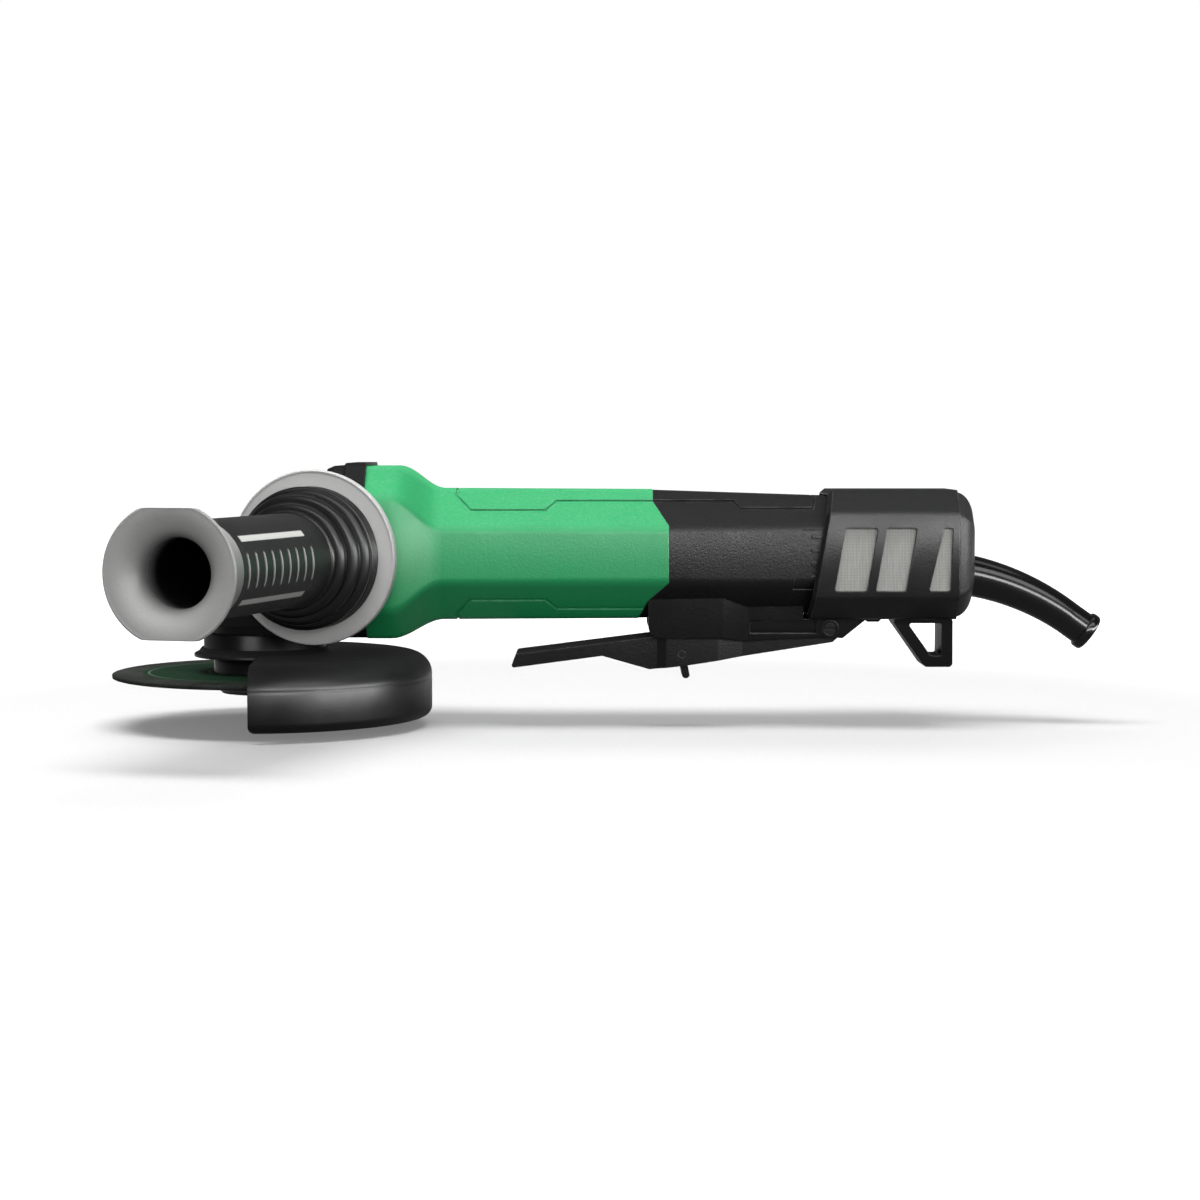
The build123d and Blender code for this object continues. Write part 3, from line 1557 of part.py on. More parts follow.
def paddle_spring():
    """The coil that pushes the paddle away from the tail."""
    x = (switch_rail_front + pivot_x) / 2 - 3.0
    floor_front = switch_block_front + 14.6
    low = -45.5 + paddle_wall + (x - floor_front) * (8.4 / (pivot_x - 7 - floor_front))
    top = tail_low_at(x - paddle_spring_radius) - slide_gap
    coil = coil_spring(paddle_spring_radius, paddle_spring_wire, low + 0.8, top, paddle_spring_turns)
    return Pos(x, 0, 0) * coil


def lock_off_lever():
    """The small lever in the paddle that stops an unwanted start."""
    drop = lock_lever_z - lock_lever_low
    half = lock_lever_thick / 2
    blade = side_cut([
        (-half, 2.0),
        (half, 2.0),
        (half, -drop + 0.8),
        (half - 0.8, -drop),
        (0.8 - half, -drop),
        (-half, -drop + 0.8),
    ], lock_lever_half)
    blade = Rot(0, -lock_lever_lean, 0) * blade
    lever = blade + rod_y(lock_lever_pin + 1.6, -lock_lever_half, lock_lever_half)
    lever -= rod_y(lock_lever_pin + run_gap, -99, 99)
    return Pos(lock_lever_x, 0, lock_lever_z) * lever


def lock_off_pin():
    """The pin of the lock-off lever, across the paddle."""
    reach = switch_block_half - switch_wall - paddle_side_gap
    return rod_y(lock_lever_pin, -reach, reach, lock_lever_x, lock_lever_z)


def lock_off_spring():
    """The coil on the lock-off lever's pin."""
    start = lock_lever_half + 0.2
    end = switch_block_half - switch_wall - paddle_side_gap - paddle_wall
    radius = lock_lever_pin + lever_spring_wire + slide_gap
    coil = coil_spring(radius, lever_spring_wire, start, end, lever_spring_turns)
    return Pos(lock_lever_x, 0, lock_lever_z) * Rot(-90, 0, 0) * coil


def switch_body():
    """The mains switch in the tail."""
    half = switch_length / 2
    low = switch_low()
    body = block(switch_x - half, switch_x + half, -switch_half, switch_half, low, switch_top)
    body = chamfer(body.edges().filter_by(Axis.Z), 0.6)
    return body - rod_z(plunger_radius + run_gap, low - 1, switch_top - 3.0, switch_x)


def switch_plunger():
    """The pin that the paddle pushes into the switch."""
    return rod_z(plunger_radius, switch_low() - plunger_reach, switch_top - 6.5, switch_x)


def controller_tray():
    """The metal tray that holds and cools the controller."""
    tray = block(tray_front, tray_rear, -tray_half, tray_half, tray_low, tray_top)
    inner = tray_half - tray_wall
    floor = tray_low + tray_wall
    hollow = block(tray_front + tray_wall, tray_rear - tray_wall, -inner, inner, floor, tray_top + 1)
    tray -= hollow
    for index in (-1, 0, 1):
        y = index * lead_spacing
        tray -= rod_x(lead_radius + press_gap, tray_front - 1, tray_front + tray_wall + 1, y, lead_z)
    return tray


def controller_board():
    """The controller's circuit board on the floor of its tray."""
    inner = tray_half - tray_wall - seat_gap
    low = tray_low + tray_wall
    end_gap = tray_wall + seat_gap
    return block(tray_front + end_gap, tray_rear - end_gap, -inner, inner, low, low + board_thick)


def capacitors():
    """Two capacitors that lie on the board."""
    z = tray_low + tray_wall + board_thick + capacitor_radius
    start = tray_rear - tray_wall - capacitor_length - 2.0
    y = capacitor_radius + 0.4
    return [rod_x(capacitor_radius, start, start + capacitor_length, side * y, z) for side in (-1, 1)]


def motor_leads():
    """Three leads from the windings to the controller."""
    start = stator_rear + winding_overhang
    end = tray_front + tray_wall + 2.0
    return [rod_x(lead_radius, start, end, index * lead_spacing, lead_z) for index in (-1, 0, 1)]


def lower_bearing():
    """The large bearing of the spindle."""
    pieces = ball_bearing(lower_journal, lower_bearing_outer, lower_bearing_width, 8)
    return [Pos(0, 0, lower_bearing_low) * piece for piece in pieces]


def upper_bush():
    """The plain bush at the spindle's upper end."""
    return rod_z(upper_bush_outer, upper_bush_low, upper_bush_top) - rod_z(upper_journal, 0, 99)


def dust_seal():
    """The felt seal in the neck."""
    ring = rod_z(seal_outer - press_gap, neck_low, neck_low + seal_width)
    return ring - rod_z(shoulder_radius + run_gap, neck_low - 1, neck_low + seal_width + 1)


def export_all():
    """Build every piece and write it in the part's frame."""
    nodes = {
        "gear_case": gear_case(),
        "gear_case_screws": gear_case_screws(),
        "bearing_cover": bearing_cover(),
        "bearing_cover_screws": bearing_cover_screws(),
        "spindle": spindle(),
        "spindle_lower_bearing": lower_bearing(),
        "spindle_upper_bush": upper_bush(),
        "dust_seal": dust_seal(),
        "ring_gear": ring_gear(),
        "pinion": pinion(),
        "pinion_nut": pinion_nut(),
        "lock_button": lock_button(),
        "lock_pin": lock_pin(),
        "lock_spring": lock_spring(),
        "wheel_guard": wheel_guard(),
        "guard_band": guard_band(),
        "guard_clamp_screw": guard_clamp_screw(),
        "wheel_flange": wheel_flange(),
        "cutting_disc": cutting_disc(),
        "wheel_nut": wheel_nut(),
        "handle_bolt": handle_bolt(),
        "handle_flange": handle_flange(),
        "handle_damper": handle_damper(),
        "handle_core": handle_core(),
        "handle_grip": handle_grip(),
        "handle_horn": handle_horn(),
        "motor_housing": motor_housing(),
        "stator_core": stator_core(),
        "stator_windings": stator_windings(),
        "rotor_shaft": rotor_shaft(),
        "rotor_core": rotor_core(),
        "rotor_magnets": rotor_magnets(),
        "front_bearing": along_x(
            ball_bearing(upper_journal, front_bearing_outer, front_bearing_width, 8), front_bearing_front
        ),
        "rear_bearing": along_x(
            ball_bearing(rear_bearing_bore, rear_bearing_outer, rear_bearing_width, 7), rear_bearing_front
        ),
        "rear_bearing_bracket": rear_bearing_bracket(),
        "cooling_fan": cooling_fan(),
        "fan_baffle": fan_baffle(),
        "tail_shell_near": tail_shell(-1),
        "tail_shell_far": tail_shell(1),
        "tail_screws": tail_screws(),
        "dust_cover": dust_cover(),
        "filter_mesh": filter_mesh(),
        "rear_cap": rear_cap(),
        "cap_screws": cap_screws(),
        "cord_guard": cord_guard(),
        "rest_foot": rest_foot(),
        "paddle_lever": paddle_lever(),
        "paddle_pivot_pin": paddle_pivot_pin(),
        "paddle_spring": paddle_spring(),
        "lock_off_lever": lock_off_lever(),
        "lock_off_pin": lock_off_pin(),
        "lock_off_spring": lock_off_spring(),
        "switch_body": switch_body(),
        "switch_plunger": switch_plunger(),
        "controller_tray": controller_tray(),
        "controller_board": controller_board(),
        "capacitors": capacitors(),
        "motor_leads": motor_leads(),
    }
    os.makedirs("parts", exist_ok=True)
    lift = Pos(0, 0, -nose_z)
    for name, made in nodes.items():
        pieces = made if isinstance(made, list) else [made]
        solids = [solid for piece in pieces for solid in (lift * piece).solids()]
        shape = solids[0] if len(solids) == 1 else Compound(children=solids)
        export_step(shape, f"parts/{name}.step")


export_all()
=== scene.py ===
"""Looks of an angle grinder with a paddle switch and a side handle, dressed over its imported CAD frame.

The CAD frame gives every place. Sizes in this file are millimetres in the maker's working frame, where the
motor axis is X, the spindle axis is Z and both cross at zero. set_piece() lifts them into the frame's metres.
The studio alone is laid out in those metres.
"""

from __future__ import annotations

import logging
import math
from dataclasses import dataclass, field
from enum import Enum

import bpy
import numpy as np
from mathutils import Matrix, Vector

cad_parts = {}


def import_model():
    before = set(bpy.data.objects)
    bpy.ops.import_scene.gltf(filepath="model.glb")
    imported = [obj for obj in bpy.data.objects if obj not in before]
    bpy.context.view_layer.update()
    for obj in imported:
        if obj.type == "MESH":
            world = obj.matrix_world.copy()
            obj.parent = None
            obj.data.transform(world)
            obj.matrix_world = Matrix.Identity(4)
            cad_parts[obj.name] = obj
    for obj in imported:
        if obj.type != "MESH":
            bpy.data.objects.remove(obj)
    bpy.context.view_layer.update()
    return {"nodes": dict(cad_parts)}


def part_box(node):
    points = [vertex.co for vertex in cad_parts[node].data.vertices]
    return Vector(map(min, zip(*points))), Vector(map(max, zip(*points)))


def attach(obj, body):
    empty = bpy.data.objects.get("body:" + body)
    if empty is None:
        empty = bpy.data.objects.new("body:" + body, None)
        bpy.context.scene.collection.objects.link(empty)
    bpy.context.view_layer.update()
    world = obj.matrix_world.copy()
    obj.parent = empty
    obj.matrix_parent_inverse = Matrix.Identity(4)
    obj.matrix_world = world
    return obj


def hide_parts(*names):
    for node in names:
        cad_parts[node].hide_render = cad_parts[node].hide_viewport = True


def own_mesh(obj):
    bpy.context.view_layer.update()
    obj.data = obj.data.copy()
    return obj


Point = tuple[float, float, float]
Colour = tuple[float, float, float]
Span = tuple[float, float]
Socket = bpy.types.NodeSocket
Node = bpy.types.Node
Tree = bpy.types.NodeTree
Value = float | Colour | Socket

LOG = logging.getLogger("grinder")
MM = 0.001
LIFT = 57.5
RISE = np.array((0.0, 0.0, LIFT))
ZERO: Point = (0.0, 0.0, 0.0)
BLACK: Colour = (0.0, 0.0, 0.0)
DUST_TONE: Colour = (0.42, 0.42, 0.40)
FLECK_SHARE = 0.35
SMUDGE_SHARE = 0.5
CREASE = 40.0
NUMBER_RESULTS = ("DOT_PRODUCT", "DISTANCE", "LENGTH")


class Grain(Enum):
    """Kinds of fine relief on a finish, each with the grain's size in mm, depth in mm and coarse share."""

    MOULDED = (0.85, 0.100, 0.25)
    MATT = (0.85, 0.170, 0.25)
    CAST = (1.70, 0.260, 0.60)
    PEEL = (1.10, 0.030, 0.50)
    RUBBER = (0.70, 0.060, 0.35)
    FINE = (0.25, 0.008, 0.20)


class Body(Enum):
    """The CAD bodies that pieces ride on."""

    HOUSING = "housing"
    SPINDLE = "output_spindle"
    GUARD = "guard"


class Unlit(Enum):
    """What a lamp leaves unlit, by the name of its object's switch."""

    GLOSS = "visible_glossy"
    SHADE = "visible_diffuse"


@dataclass
class Graph:
    """Adds and joins the nodes of one node tree."""

    tree: Tree

    def node(self, kind: str, **settings: object) -> Node:
        """Adds a node.

        Args:
            kind: The node's type name.
            settings: Properties to set on it.

        Returns:
            The new node.
        """
        made = self.tree.nodes.new(kind)
        for key, value in settings.items():
            setattr(made, key, value)
        return made

    def feed(self, target: Socket, value: Value) -> None:
        """Joins a socket to an input, or sets a plain number or colour on it.

        Args:
            target: The input socket.
            value: A source socket, a number or a colour.
        """
        if isinstance(value, Socket):
            self.tree.links.new(value, target)
        elif isinstance(value, tuple) and len(value) == 3 and target.type == "RGBA":
            target.default_value = (*value, 1.0)
        else:
            target.default_value = value

    def group(self, tree: Tree, **inputs: Value) -> Node:
        """Places a shared effect.

        Args:
            tree: The effect's node group.
            inputs: What its inputs get, by their names.

        Returns:
            The group's node.
        """
        made = self.node("ShaderNodeGroup", node_tree=tree)
        for name, value in inputs.items():
            self.feed(made.inputs[name], value)
        return made

    def math(self, operation: str, first: Value, second: Value = 0.0) -> Socket:
        """Adds a Math node.

        Args:
            operation: The node's operation name.
            first: The first operand.
            second: The second operand.

        Returns:
            The result's socket.
        """
        made = self.node("ShaderNodeMath", operation=operation)
        self.feed(made.inputs[0], first)
        self.feed(made.inputs[1], second)
        return made.outputs[0]

    def times(self, first: Value, second: Value) -> Socket:
        """Returns the product of two values."""
        return self.math("MULTIPLY", first, second)

    def vector(self, operation: str, first: Value, second: Value = ZERO) -> Socket:
        """Adds a Vector Math node.

        Args:
            operation: The node's operation name.
            first: The first operand.
            second: The second operand.

        Returns:
            The result's socket, a number's where the operation gives a number.
        """
        made = self.node("ShaderNodeVectorMath", operation=operation)
        self.feed(made.inputs[0], first)
        self.feed(made.inputs[1], second)
        return made.outputs["Value"] if operation in NUMBER_RESULTS else made.outputs[0]

    def noise(self, place: Value, scale: Value, detail: float = 2.0, rough: float = 0.5) -> Socket:
        """Adds a noise texture.

        Args:
            place: The coordinates, in metres.
            scale: Waves per metre.
            detail: Finer octaves.
            rough: Their share.

        Returns:
            The noise value's socket.
        """
        made = self.node("ShaderNodeTexNoise")
        self.feed(made.inputs["Vector"], place)
        self.feed(made.inputs["Scale"], scale)
        made.inputs["Detail"].default_value = detail
        made.inputs["Roughness"].default_value = rough
        return made.outputs["Fac"]

    def ramp(self, value: Value, low: Value, high: Value, start: Value = 0.0, end: Value = 1.0,
             smooth: bool = False) -> Socket:
        """Adds a clamped Map Range node.

        Args:
            value: What is mapped.
            low: The value that gives start.
            high: The value that gives end.
            start: The result at low.
            end: The result at high.
            smooth: Whether the ramp eases in and out.

        Returns:
            The mapped value's socket.
        """
        made = self.node("ShaderNodeMapRange", interpolation_type="SMOOTHSTEP" if smooth else "LINEAR")
        names = ("Value", "From Min", "From Max", "To Min", "To Max")
        for name, given in zip(names, (value, low, high, start, end)):
            self.feed(made.inputs[name], given)
        return made.outputs["Result"]

    def mix(self, share: Value, first: Value, second: Value) -> Socket:
        """Mixes two colours.

        Args:
            share: How much of the second colour shows.
            first: The first colour.
            second: The second colour.

        Returns:
            The mixed colour's socket.
        """
        made = self.node("ShaderNodeMix", data_type="RGBA")
        self.feed(made.inputs[0], share)
        self.feed(made.inputs[6], first)
        self.feed(made.inputs[7], second)
        return made.outputs[2]

    def band(self, value: Value, middle: float, half: float, soft: float = 0.15) -> Socket:
        """Marks a band of a value.

        Args:
            value: What is looked at.
            middle: The band's middle.
            half: Half of its width.
            soft: How far its edges fade.

        Returns:
            A socket that is 1 inside the band and 0 outside it.
        """
        away = self.math("ABSOLUTE", self.math("SUBTRACT", value, middle))
        return self.ramp(away, half + soft, half - soft)

    def parts(self, place: Value) -> tuple[Socket, Socket, Socket]:
        """Splits coordinates.

        Args:
            place: The coordinates.

        Returns:
            Their X, Y and Z sockets.
        """
        made = self.node("ShaderNodeSeparateXYZ")
        self.feed(made.inputs[0], place)
        return made.outputs[0], made.outputs[1], made.outputs[2]

    def place(self) -> Socket:
        """Returns the piece's own Object coordinates."""
        return self.node("ShaderNodeTexCoord").outputs["Object"]

    def bump(self, height: Value, depth: float, normal: Value) -> Socket:
        """Adds a Bump node.

        Args:
            height: The relief, from 0 to 1.
            depth: The relief's depth in metres.
            normal: The normal to start from.

        Returns:
            The bumped normal's socket.
        """
        made = self.node("ShaderNodeBump")
        for name, value in (("Strength", 1.0), ("Distance", depth), ("Height", height), ("Normal", normal)):
            self.feed(made.inputs[name], value)
        return made.outputs["Normal"]


def start_tree(owner: bpy.types.Material | bpy.types.World, output: str) -> tuple[Graph, Node]:
    """Gives a material or a world an empty node tree.

    Args:
        owner: The material or world.
        output: The type name of its output node.

    Returns:
        The tree's graph and its output node.
    """
    owner.use_nodes = True
    owner.node_tree.nodes.clear()
    graph = Graph(owner.node_tree)
    return graph, graph.node(output)


def new_group(name: str, inputs: dict[str, float], outputs: tuple[str, ...]) -> tuple[Graph, Node, Node]:
    """Starts a shader node group that takes a Place vector and numbers.

    Args:
        name: The group's name.
        inputs: Each number's name and default.
        outputs: The outputs' names. Normal is a vector, and the others are numbers.

    Returns:
        The group's graph, its input node and its output node.
    """
    tree = bpy.data.node_groups.new(name, "ShaderNodeTree")
    tree.interface.new_socket(name="Place", in_out="INPUT", socket_type="NodeSocketVector")
    for label, default in inputs.items():
        socket = tree.interface.new_socket(name=label, in_out="INPUT", socket_type="NodeSocketFloat")
        socket.default_value = default
    for label in outputs:
        kind = "NodeSocketVector" if label == "Normal" else "NodeSocketFloat"
        tree.interface.new_socket(name=label, in_out="OUTPUT", socket_type=kind)
    graph = Graph(tree)
    return graph, graph.node("NodeGroupInput"), graph.node("NodeGroupOutput")


@dataclass
class Effects:
    """The effects that several finishes share, each a node group that is built once.

    Waves are counts in a metre. A span holds the values at which a mask starts and at which it is full.
    """

    longer: float = 0.2
    fleck_span: Span = (0.55, 0.72)
    smudge_waves: float = 45.0
    smudge_span: Span = (0.35, 0.68)
    up_span: Span = (0.15, 0.95)
    speck_waves: float = 900.0
    speck_span: Span = (0.45, 0.75)
    leave_span: Span = (0.995, 0.80)
    patch_waves: float = 160.0
    patch_span: Span = (0.35, 0.7)
    relief: Tree = field(init=False)
    handling: Tree = field(init=False)
    edges: Tree = field(init=False)

    def __post_init__(self) -> None:
        """Builds the groups."""
        self.relief, self.handling, self.edges = self.make_relief(), self.make_handling(), self.make_edges()

    def make_relief(self) -> Tree:
        """Fine relief: a noise of the grain's size with a share of a wave five times as long.

        Returns:
            The group, with the outputs Height and Fleck.
        """
        graph, given, result = new_group("fine_relief", {"Waves": 1000.0, "Coarse": 0.3}, ("Height", "Fleck"))
        place, waves = given.outputs["Place"], given.outputs["Waves"]
        fine = graph.noise(place, waves, detail=2.0, rough=0.55)
        coarse = graph.noise(place, graph.times(waves, self.longer), detail=2.0, rough=0.5)
        part = graph.times(graph.math("SUBTRACT", coarse, fine), given.outputs["Coarse"])
        graph.feed(result.inputs["Height"], graph.math("ADD", fine, part))
        graph.feed(result.inputs["Fleck"], graph.ramp(fine, *self.fleck_span))
        return graph.tree

    def make_handling(self) -> Tree:
        """Traces of handling: broad smudges, how far a face looks up, and dust that settles there.

        Returns:
            The group, with the outputs Smudge, Up and Dust.
        """
        graph, given, result = new_group("handling_traces", {}, ("Smudge", "Up", "Dust"))
        place = given.outputs["Place"]
        broad = graph.noise(place, self.smudge_waves, detail=4.0, rough=0.6)
        facing = graph.parts(graph.node("ShaderNodeNewGeometry").outputs["Normal"])[2]
        up = graph.ramp(facing, *self.up_span)
        specks = graph.ramp(graph.noise(place, self.speck_waves, detail=3.0, rough=0.7), *self.speck_span)
        graph.feed(result.inputs["Smudge"], graph.ramp(broad, *self.smudge_span))
        graph.feed(result.inputs["Up"], up)
        graph.feed(result.inputs["Dust"], graph.times(up, specks))
        return graph.tree

    def make_edges(self) -> Tree:
        """Rounded edges: the bevelled normal, and a mask of where it leaves the true normal, with which edges are
        painted paler, partly as rubbed wear and partly as a painted highlight.

        Returns:
            The group, with the outputs Normal and Rub.
        """
        graph, given, result = new_group("rounded_edges_and_highlight", {"Radius": 0.0005}, ("Normal", "WearAndHighlight"))
        bevel = graph.node("ShaderNodeBevel", samples=4)
        graph.feed(bevel.inputs["Radius"], given.outputs["Radius"])
        flat = graph.node("ShaderNodeNewGeometry").outputs["Normal"]
        leave = graph.ramp(graph.vector("DOT_PRODUCT", bevel.outputs["Normal"], flat), *self.leave_span)
        broad = graph.noise(given.outputs["Place"], self.patch_waves, detail=3.0, rough=0.6)
        graph.feed(result.inputs["Normal"], bevel.outputs["Normal"])
        graph.feed(result.inputs["WearAndHighlight"], graph.times(leave, graph.ramp(broad, *self.patch_span)))
        return graph.tree


@dataclass(frozen=True)
class Canvas:
    """What a finish paints with: the material's graph, the Object coordinates and the two shared effects."""

    graph: Graph
    place: Socket
    relief: Node
    handling: Node


@dataclass(frozen=True)
class Finish:
    """A procedural finish: two close tones, grain, smudged roughness, dust, and edges painted paler, partly as
    rubbed wear and partly as a painted highlight along them.

    The edge's radius and the crown's level are in mm, and the crown is a curvature in 1/m.
    """

    name: str
    tone: Colour
    other: Colour
    rough: float
    grain: Grain
    rough_spread: float = 0.10
    film: float = 0.0
    metal: float = 0.0
    specular: float = 0.5
    edge: float = 0.4
    # The edge mask paints a paler tone along edges: partly rubbed wear, partly a painted edge highlight.
    edge_wear_and_highlight: float = 0.10
    edge_wear_and_highlight_tone: Colour = (0.30, 0.30, 0.29)
    dust: float = 0.05
    crown: float = 0.0
    crown_level: float = LIFT

    def material(self, effects: Effects) -> bpy.types.Material:
        """Builds the finish's material, once.

        Args:
            effects: The shared node groups.

        Returns:
            The material.
        """
        made = bpy.data.materials.get(self.name)
        if made is not None:
            return made
        made = bpy.data.materials.new(self.name)
        graph, output = start_tree(made, "ShaderNodeOutputMaterial")
        shader = graph.node("ShaderNodeBsdfPrincipled")
        graph.feed(output.inputs["Surface"], shader.outputs["BSDF"])
        shader.inputs["Specular IOR Level"].default_value = self.specular
        shader.inputs["Metallic"].default_value = self.metal
        place = graph.place()
        size, depth, coarse = self.grain.value
        relief = graph.group(effects.relief, Place=place, Waves=1.0 / MM / size, Coarse=coarse)
        handling = graph.group(effects.handling, Place=place)
        edges = graph.group(effects.edges, Place=place, Radius=self.edge * MM)
        canvas = Canvas(graph, place, relief, handling)
        tone = self.paint(canvas)
        # Edges painted paler: partly rubbed wear, partly a painted highlight.
        tone = graph.mix(graph.times(edges.outputs["WearAndHighlight"], self.edge_wear_and_highlight), tone, self.edge_wear_and_highlight_tone)
        tone = graph.mix(graph.times(handling.outputs["Dust"], self.dust), tone, DUST_TONE)
        graph.feed(shader.inputs["Base Color"], tone)
        graph.feed(shader.inputs["Roughness"], self.gloss(canvas))
        normal = edges.outputs["Normal"]
        if self.crown:
            normal = graph.bump(self.swell(canvas), 1.0, normal)
        graph.feed(shader.inputs["Normal"], graph.bump(self.height(canvas), depth * MM, normal))
        return made

    def swell(self, canvas: Canvas) -> Socket:
        """Finds the height of a slight crown, which falls with the square of the way from its level.

        Args:
            canvas: What the finish paints with.

        Returns:
            The socket of the height in metres.
        """
        graph = canvas.graph
        away = graph.math("SUBTRACT", graph.parts(canvas.place)[2], self.crown_level * MM)
        return graph.times(graph.times(away, away), -self.crown / 2)

    def paint(self, canvas: Canvas) -> Socket:
        """Paints the finish: the second tone shows in the smudges and in flecks of the grain.

        Args:
            canvas: What the finish paints with.

        Returns:
            The colour's socket.
        """
        graph = canvas.graph
        flecks = graph.times(canvas.relief.outputs["Fleck"], FLECK_SHARE)
        smudges = graph.times(canvas.handling.outputs["Smudge"], SMUDGE_SHARE)
        share = graph.math("ADD", flecks, smudges)
        return graph.mix(share, self.tone, self.other)

    def gloss(self, canvas: Canvas) -> Socket:
        """Finds the roughness, which the smudges raise, and a dull film on the faces that look up.

        Args:
            canvas: What the finish paints with.

        Returns:
            The roughness's socket.
        """
        low = self.rough - self.rough_spread / 2
        graph, traces = canvas.graph, canvas.handling.outputs
        plain = graph.ramp(traces["Smudge"], 0.0, 1.0, low, low + self.rough_spread)
        return graph.math("ADD", plain, graph.times(traces["Up"], self.film))

    def height(self, canvas: Canvas) -> Socket:
        """Returns the relief that the bump reads."""
        return canvas.relief.outputs["Height"]


def dress(piece: bpy.types.Object, material: bpy.types.Material) -> None:
    """Gives a piece one material.

    Args:
        piece: A new piece or a CAD node's object.
        material: The material for all of its faces.
    """
    if not piece.material_slots:
        piece.data.materials.append(material)
    for slot in piece.material_slots:
        slot.material = material


def handle_way(graph: Graph, place: Value) -> tuple[Socket, Socket]:
    """Finds how far a point lies along the side handle.

    Args:
        graph: The material's graph.
        place: The point's Object coordinates.

    Returns:
        The way along the handle's axis from its boss, and the distance from that axis, in mm.
    """
    axes = SideHandle().axes()
    start = tuple((np.array(axes.origin) + RISE) * MM)
    off = graph.vector("MULTIPLY", graph.vector("SUBTRACT", place, start), (1.0 / MM,) * 3)
    away = graph.vector("CROSS_PRODUCT", off, axes.along)
    return graph.vector("DOT_PRODUCT", off, axes.along), graph.vector("LENGTH", away)


@dataclass(frozen=True)
class RibbedRubber(Finish):
    """Grip rubber with rib crests painted paler, partly as wear and partly as a painted highlight, and plain
    stripes above and below the ribs.

    A crest's half width and fade are shares of the ribs' pitch, and the other lengths are in mm.
    """

    stripe_tone: Colour = (0.52, 0.52, 0.50)
    stripe_level: float = 11.4
    stripe_half: float = 1.0
    stripe_span: Span = (48.0, 106.0)
    # Crest colour: partly wear, partly a painted highlight on the ribs.
    crest_wear_and_highlight_tone: Colour = (0.34, 0.34, 0.335)
    crest_half: float = 0.05
    crest_fade: float = 0.03
    crest_level: float = 6.2
    crest_end_fade: float = 0.5
    crest_past: float = 1.0

    def paint(self, canvas: Canvas) -> Socket:
        """Paints the rubber with the crests and the stripes on it.

        Args:
            canvas: What the finish paints with.

        Returns:
            The colour's socket.
        """
        graph, place = canvas.graph, canvas.place
        rubber = super().paint(canvas)
        handle = SideHandle()
        along, _ = handle_way(graph, place)
        height = graph.math("DIVIDE", graph.parts(place)[2], MM)
        level = graph.math("ABSOLUTE", graph.math("SUBTRACT", height, LIFT))
        phase = graph.math("DIVIDE", graph.math("SUBTRACT", along, handle.rib_start), handle.rib_pitch)
        off = graph.math("SUBTRACT", phase, graph.math("ROUND", phase))
        crest = graph.times(graph.band(off, 0.0, self.crest_half, self.crest_fade),
                            graph.band(level, 0.0, self.crest_level, self.crest_end_fade))
        reach = handle.rib_pitch * (handle.ribs - 1) / 2
        crest = graph.times(crest, graph.band(along, handle.rib_start + reach, reach + self.crest_past))
        # Crests painted paler: partly wear, partly a painted highlight.
        rubber = graph.mix(crest, rubber, self.crest_wear_and_highlight_tone)
        first, last = self.stripe_span
        stripe = graph.times(graph.band(level, self.stripe_level, self.stripe_half),
                             graph.band(along, (first + last) / 2, (last - first) / 2))
        return graph.mix(stripe, rubber, self.stripe_tone)


@dataclass(frozen=True)
class BellPlastic(Finish):
    """Pale plastic of a bell mouth, with painted shade: darker the deeper it lies behind the rim, and black down
    its bore.

    The spans are ways along the handle in mm. What lies nearer to the axis than a wall is inside the bell.
    The wall's radius goes over wall_radius as the way goes over wall_along.
    """

    # How much painted shade darkens the deepest part of the bell.
    depth_shade: float = 0.58
    reach: Span = (133.4, 126.5)
    bore: Span = (127.0, 116.0)
    wall_along: Span = (125.0, 134.0)
    wall_radius: Span = (16.2, 24.6)

    def paint(self, canvas: Canvas) -> Socket:
        """Paints the plastic, with painted shade that darkens it behind the rim and blackens it down the bore.

        Args:
            canvas: What the finish paints with.

        Returns:
            The colour's socket.
        """
        graph, place = canvas.graph, canvas.place
        pale = super().paint(canvas)
        along, radius = handle_way(graph, place)
        inside = graph.math("LESS_THAN", radius, graph.ramp(along, *self.wall_along, *self.wall_radius))
        share = graph.times(graph.ramp(along, *self.reach, smooth=True), inside)
        # Painted shade: duller with depth inside the bell, then black down the bore.
        dull = graph.mix(1.0 - self.depth_shade, pale, BLACK)
        black = graph.mix(graph.ramp(along, *self.bore, smooth=True), dull, BLACK)
        return graph.mix(share, pale, black)


@dataclass(frozen=True)
class PrintedWheel(Finish):
    """Bonded abrasive with a plain printed label: a dark field with two thin rings.

    A ring holds how far it lies from its edge of the label and half of its width, in mm.
    """

    label_tone: Colour = (0.006, 0.021, 0.010)
    ring_tone: Colour = (0.060, 0.085, 0.060)
    label_span: Span = (14.0, 50.0)
    outer_ring: Span = (2.5, 0.4)
    inner_ring: Span = (9.0, 0.6)
    worn: float = 0.75

    def paint(self, canvas: Canvas) -> Socket:
        """Paints the abrasive with the label on it.

        Args:
            canvas: What the finish paints with.

        Returns:
            The colour's socket.
        """
        graph, place = canvas.graph, canvas.place
        stone = super().paint(canvas)
        radius = graph.vector("LENGTH", graph.vector("MULTIPLY", place, (1.0 / MM, 1.0 / MM, 0.0)))
        first, last = self.label_span
        whole = graph.band(radius, (first + last) / 2, (last - first) / 2)
        flecked = graph.ramp(canvas.relief.outputs["Fleck"], 0.0, 1.0, 1.0, self.worn)
        label = graph.mix(graph.times(whole, flecked), stone, self.label_tone)
        (outer, outer_half), (inner, inner_half) = self.outer_ring, self.inner_ring
        rings = graph.math("MAXIMUM", graph.band(radius, last - outer, outer_half),
                           graph.band(radius, first + inner, inner_half))
        return graph.mix(rings, label, self.ring_tone)


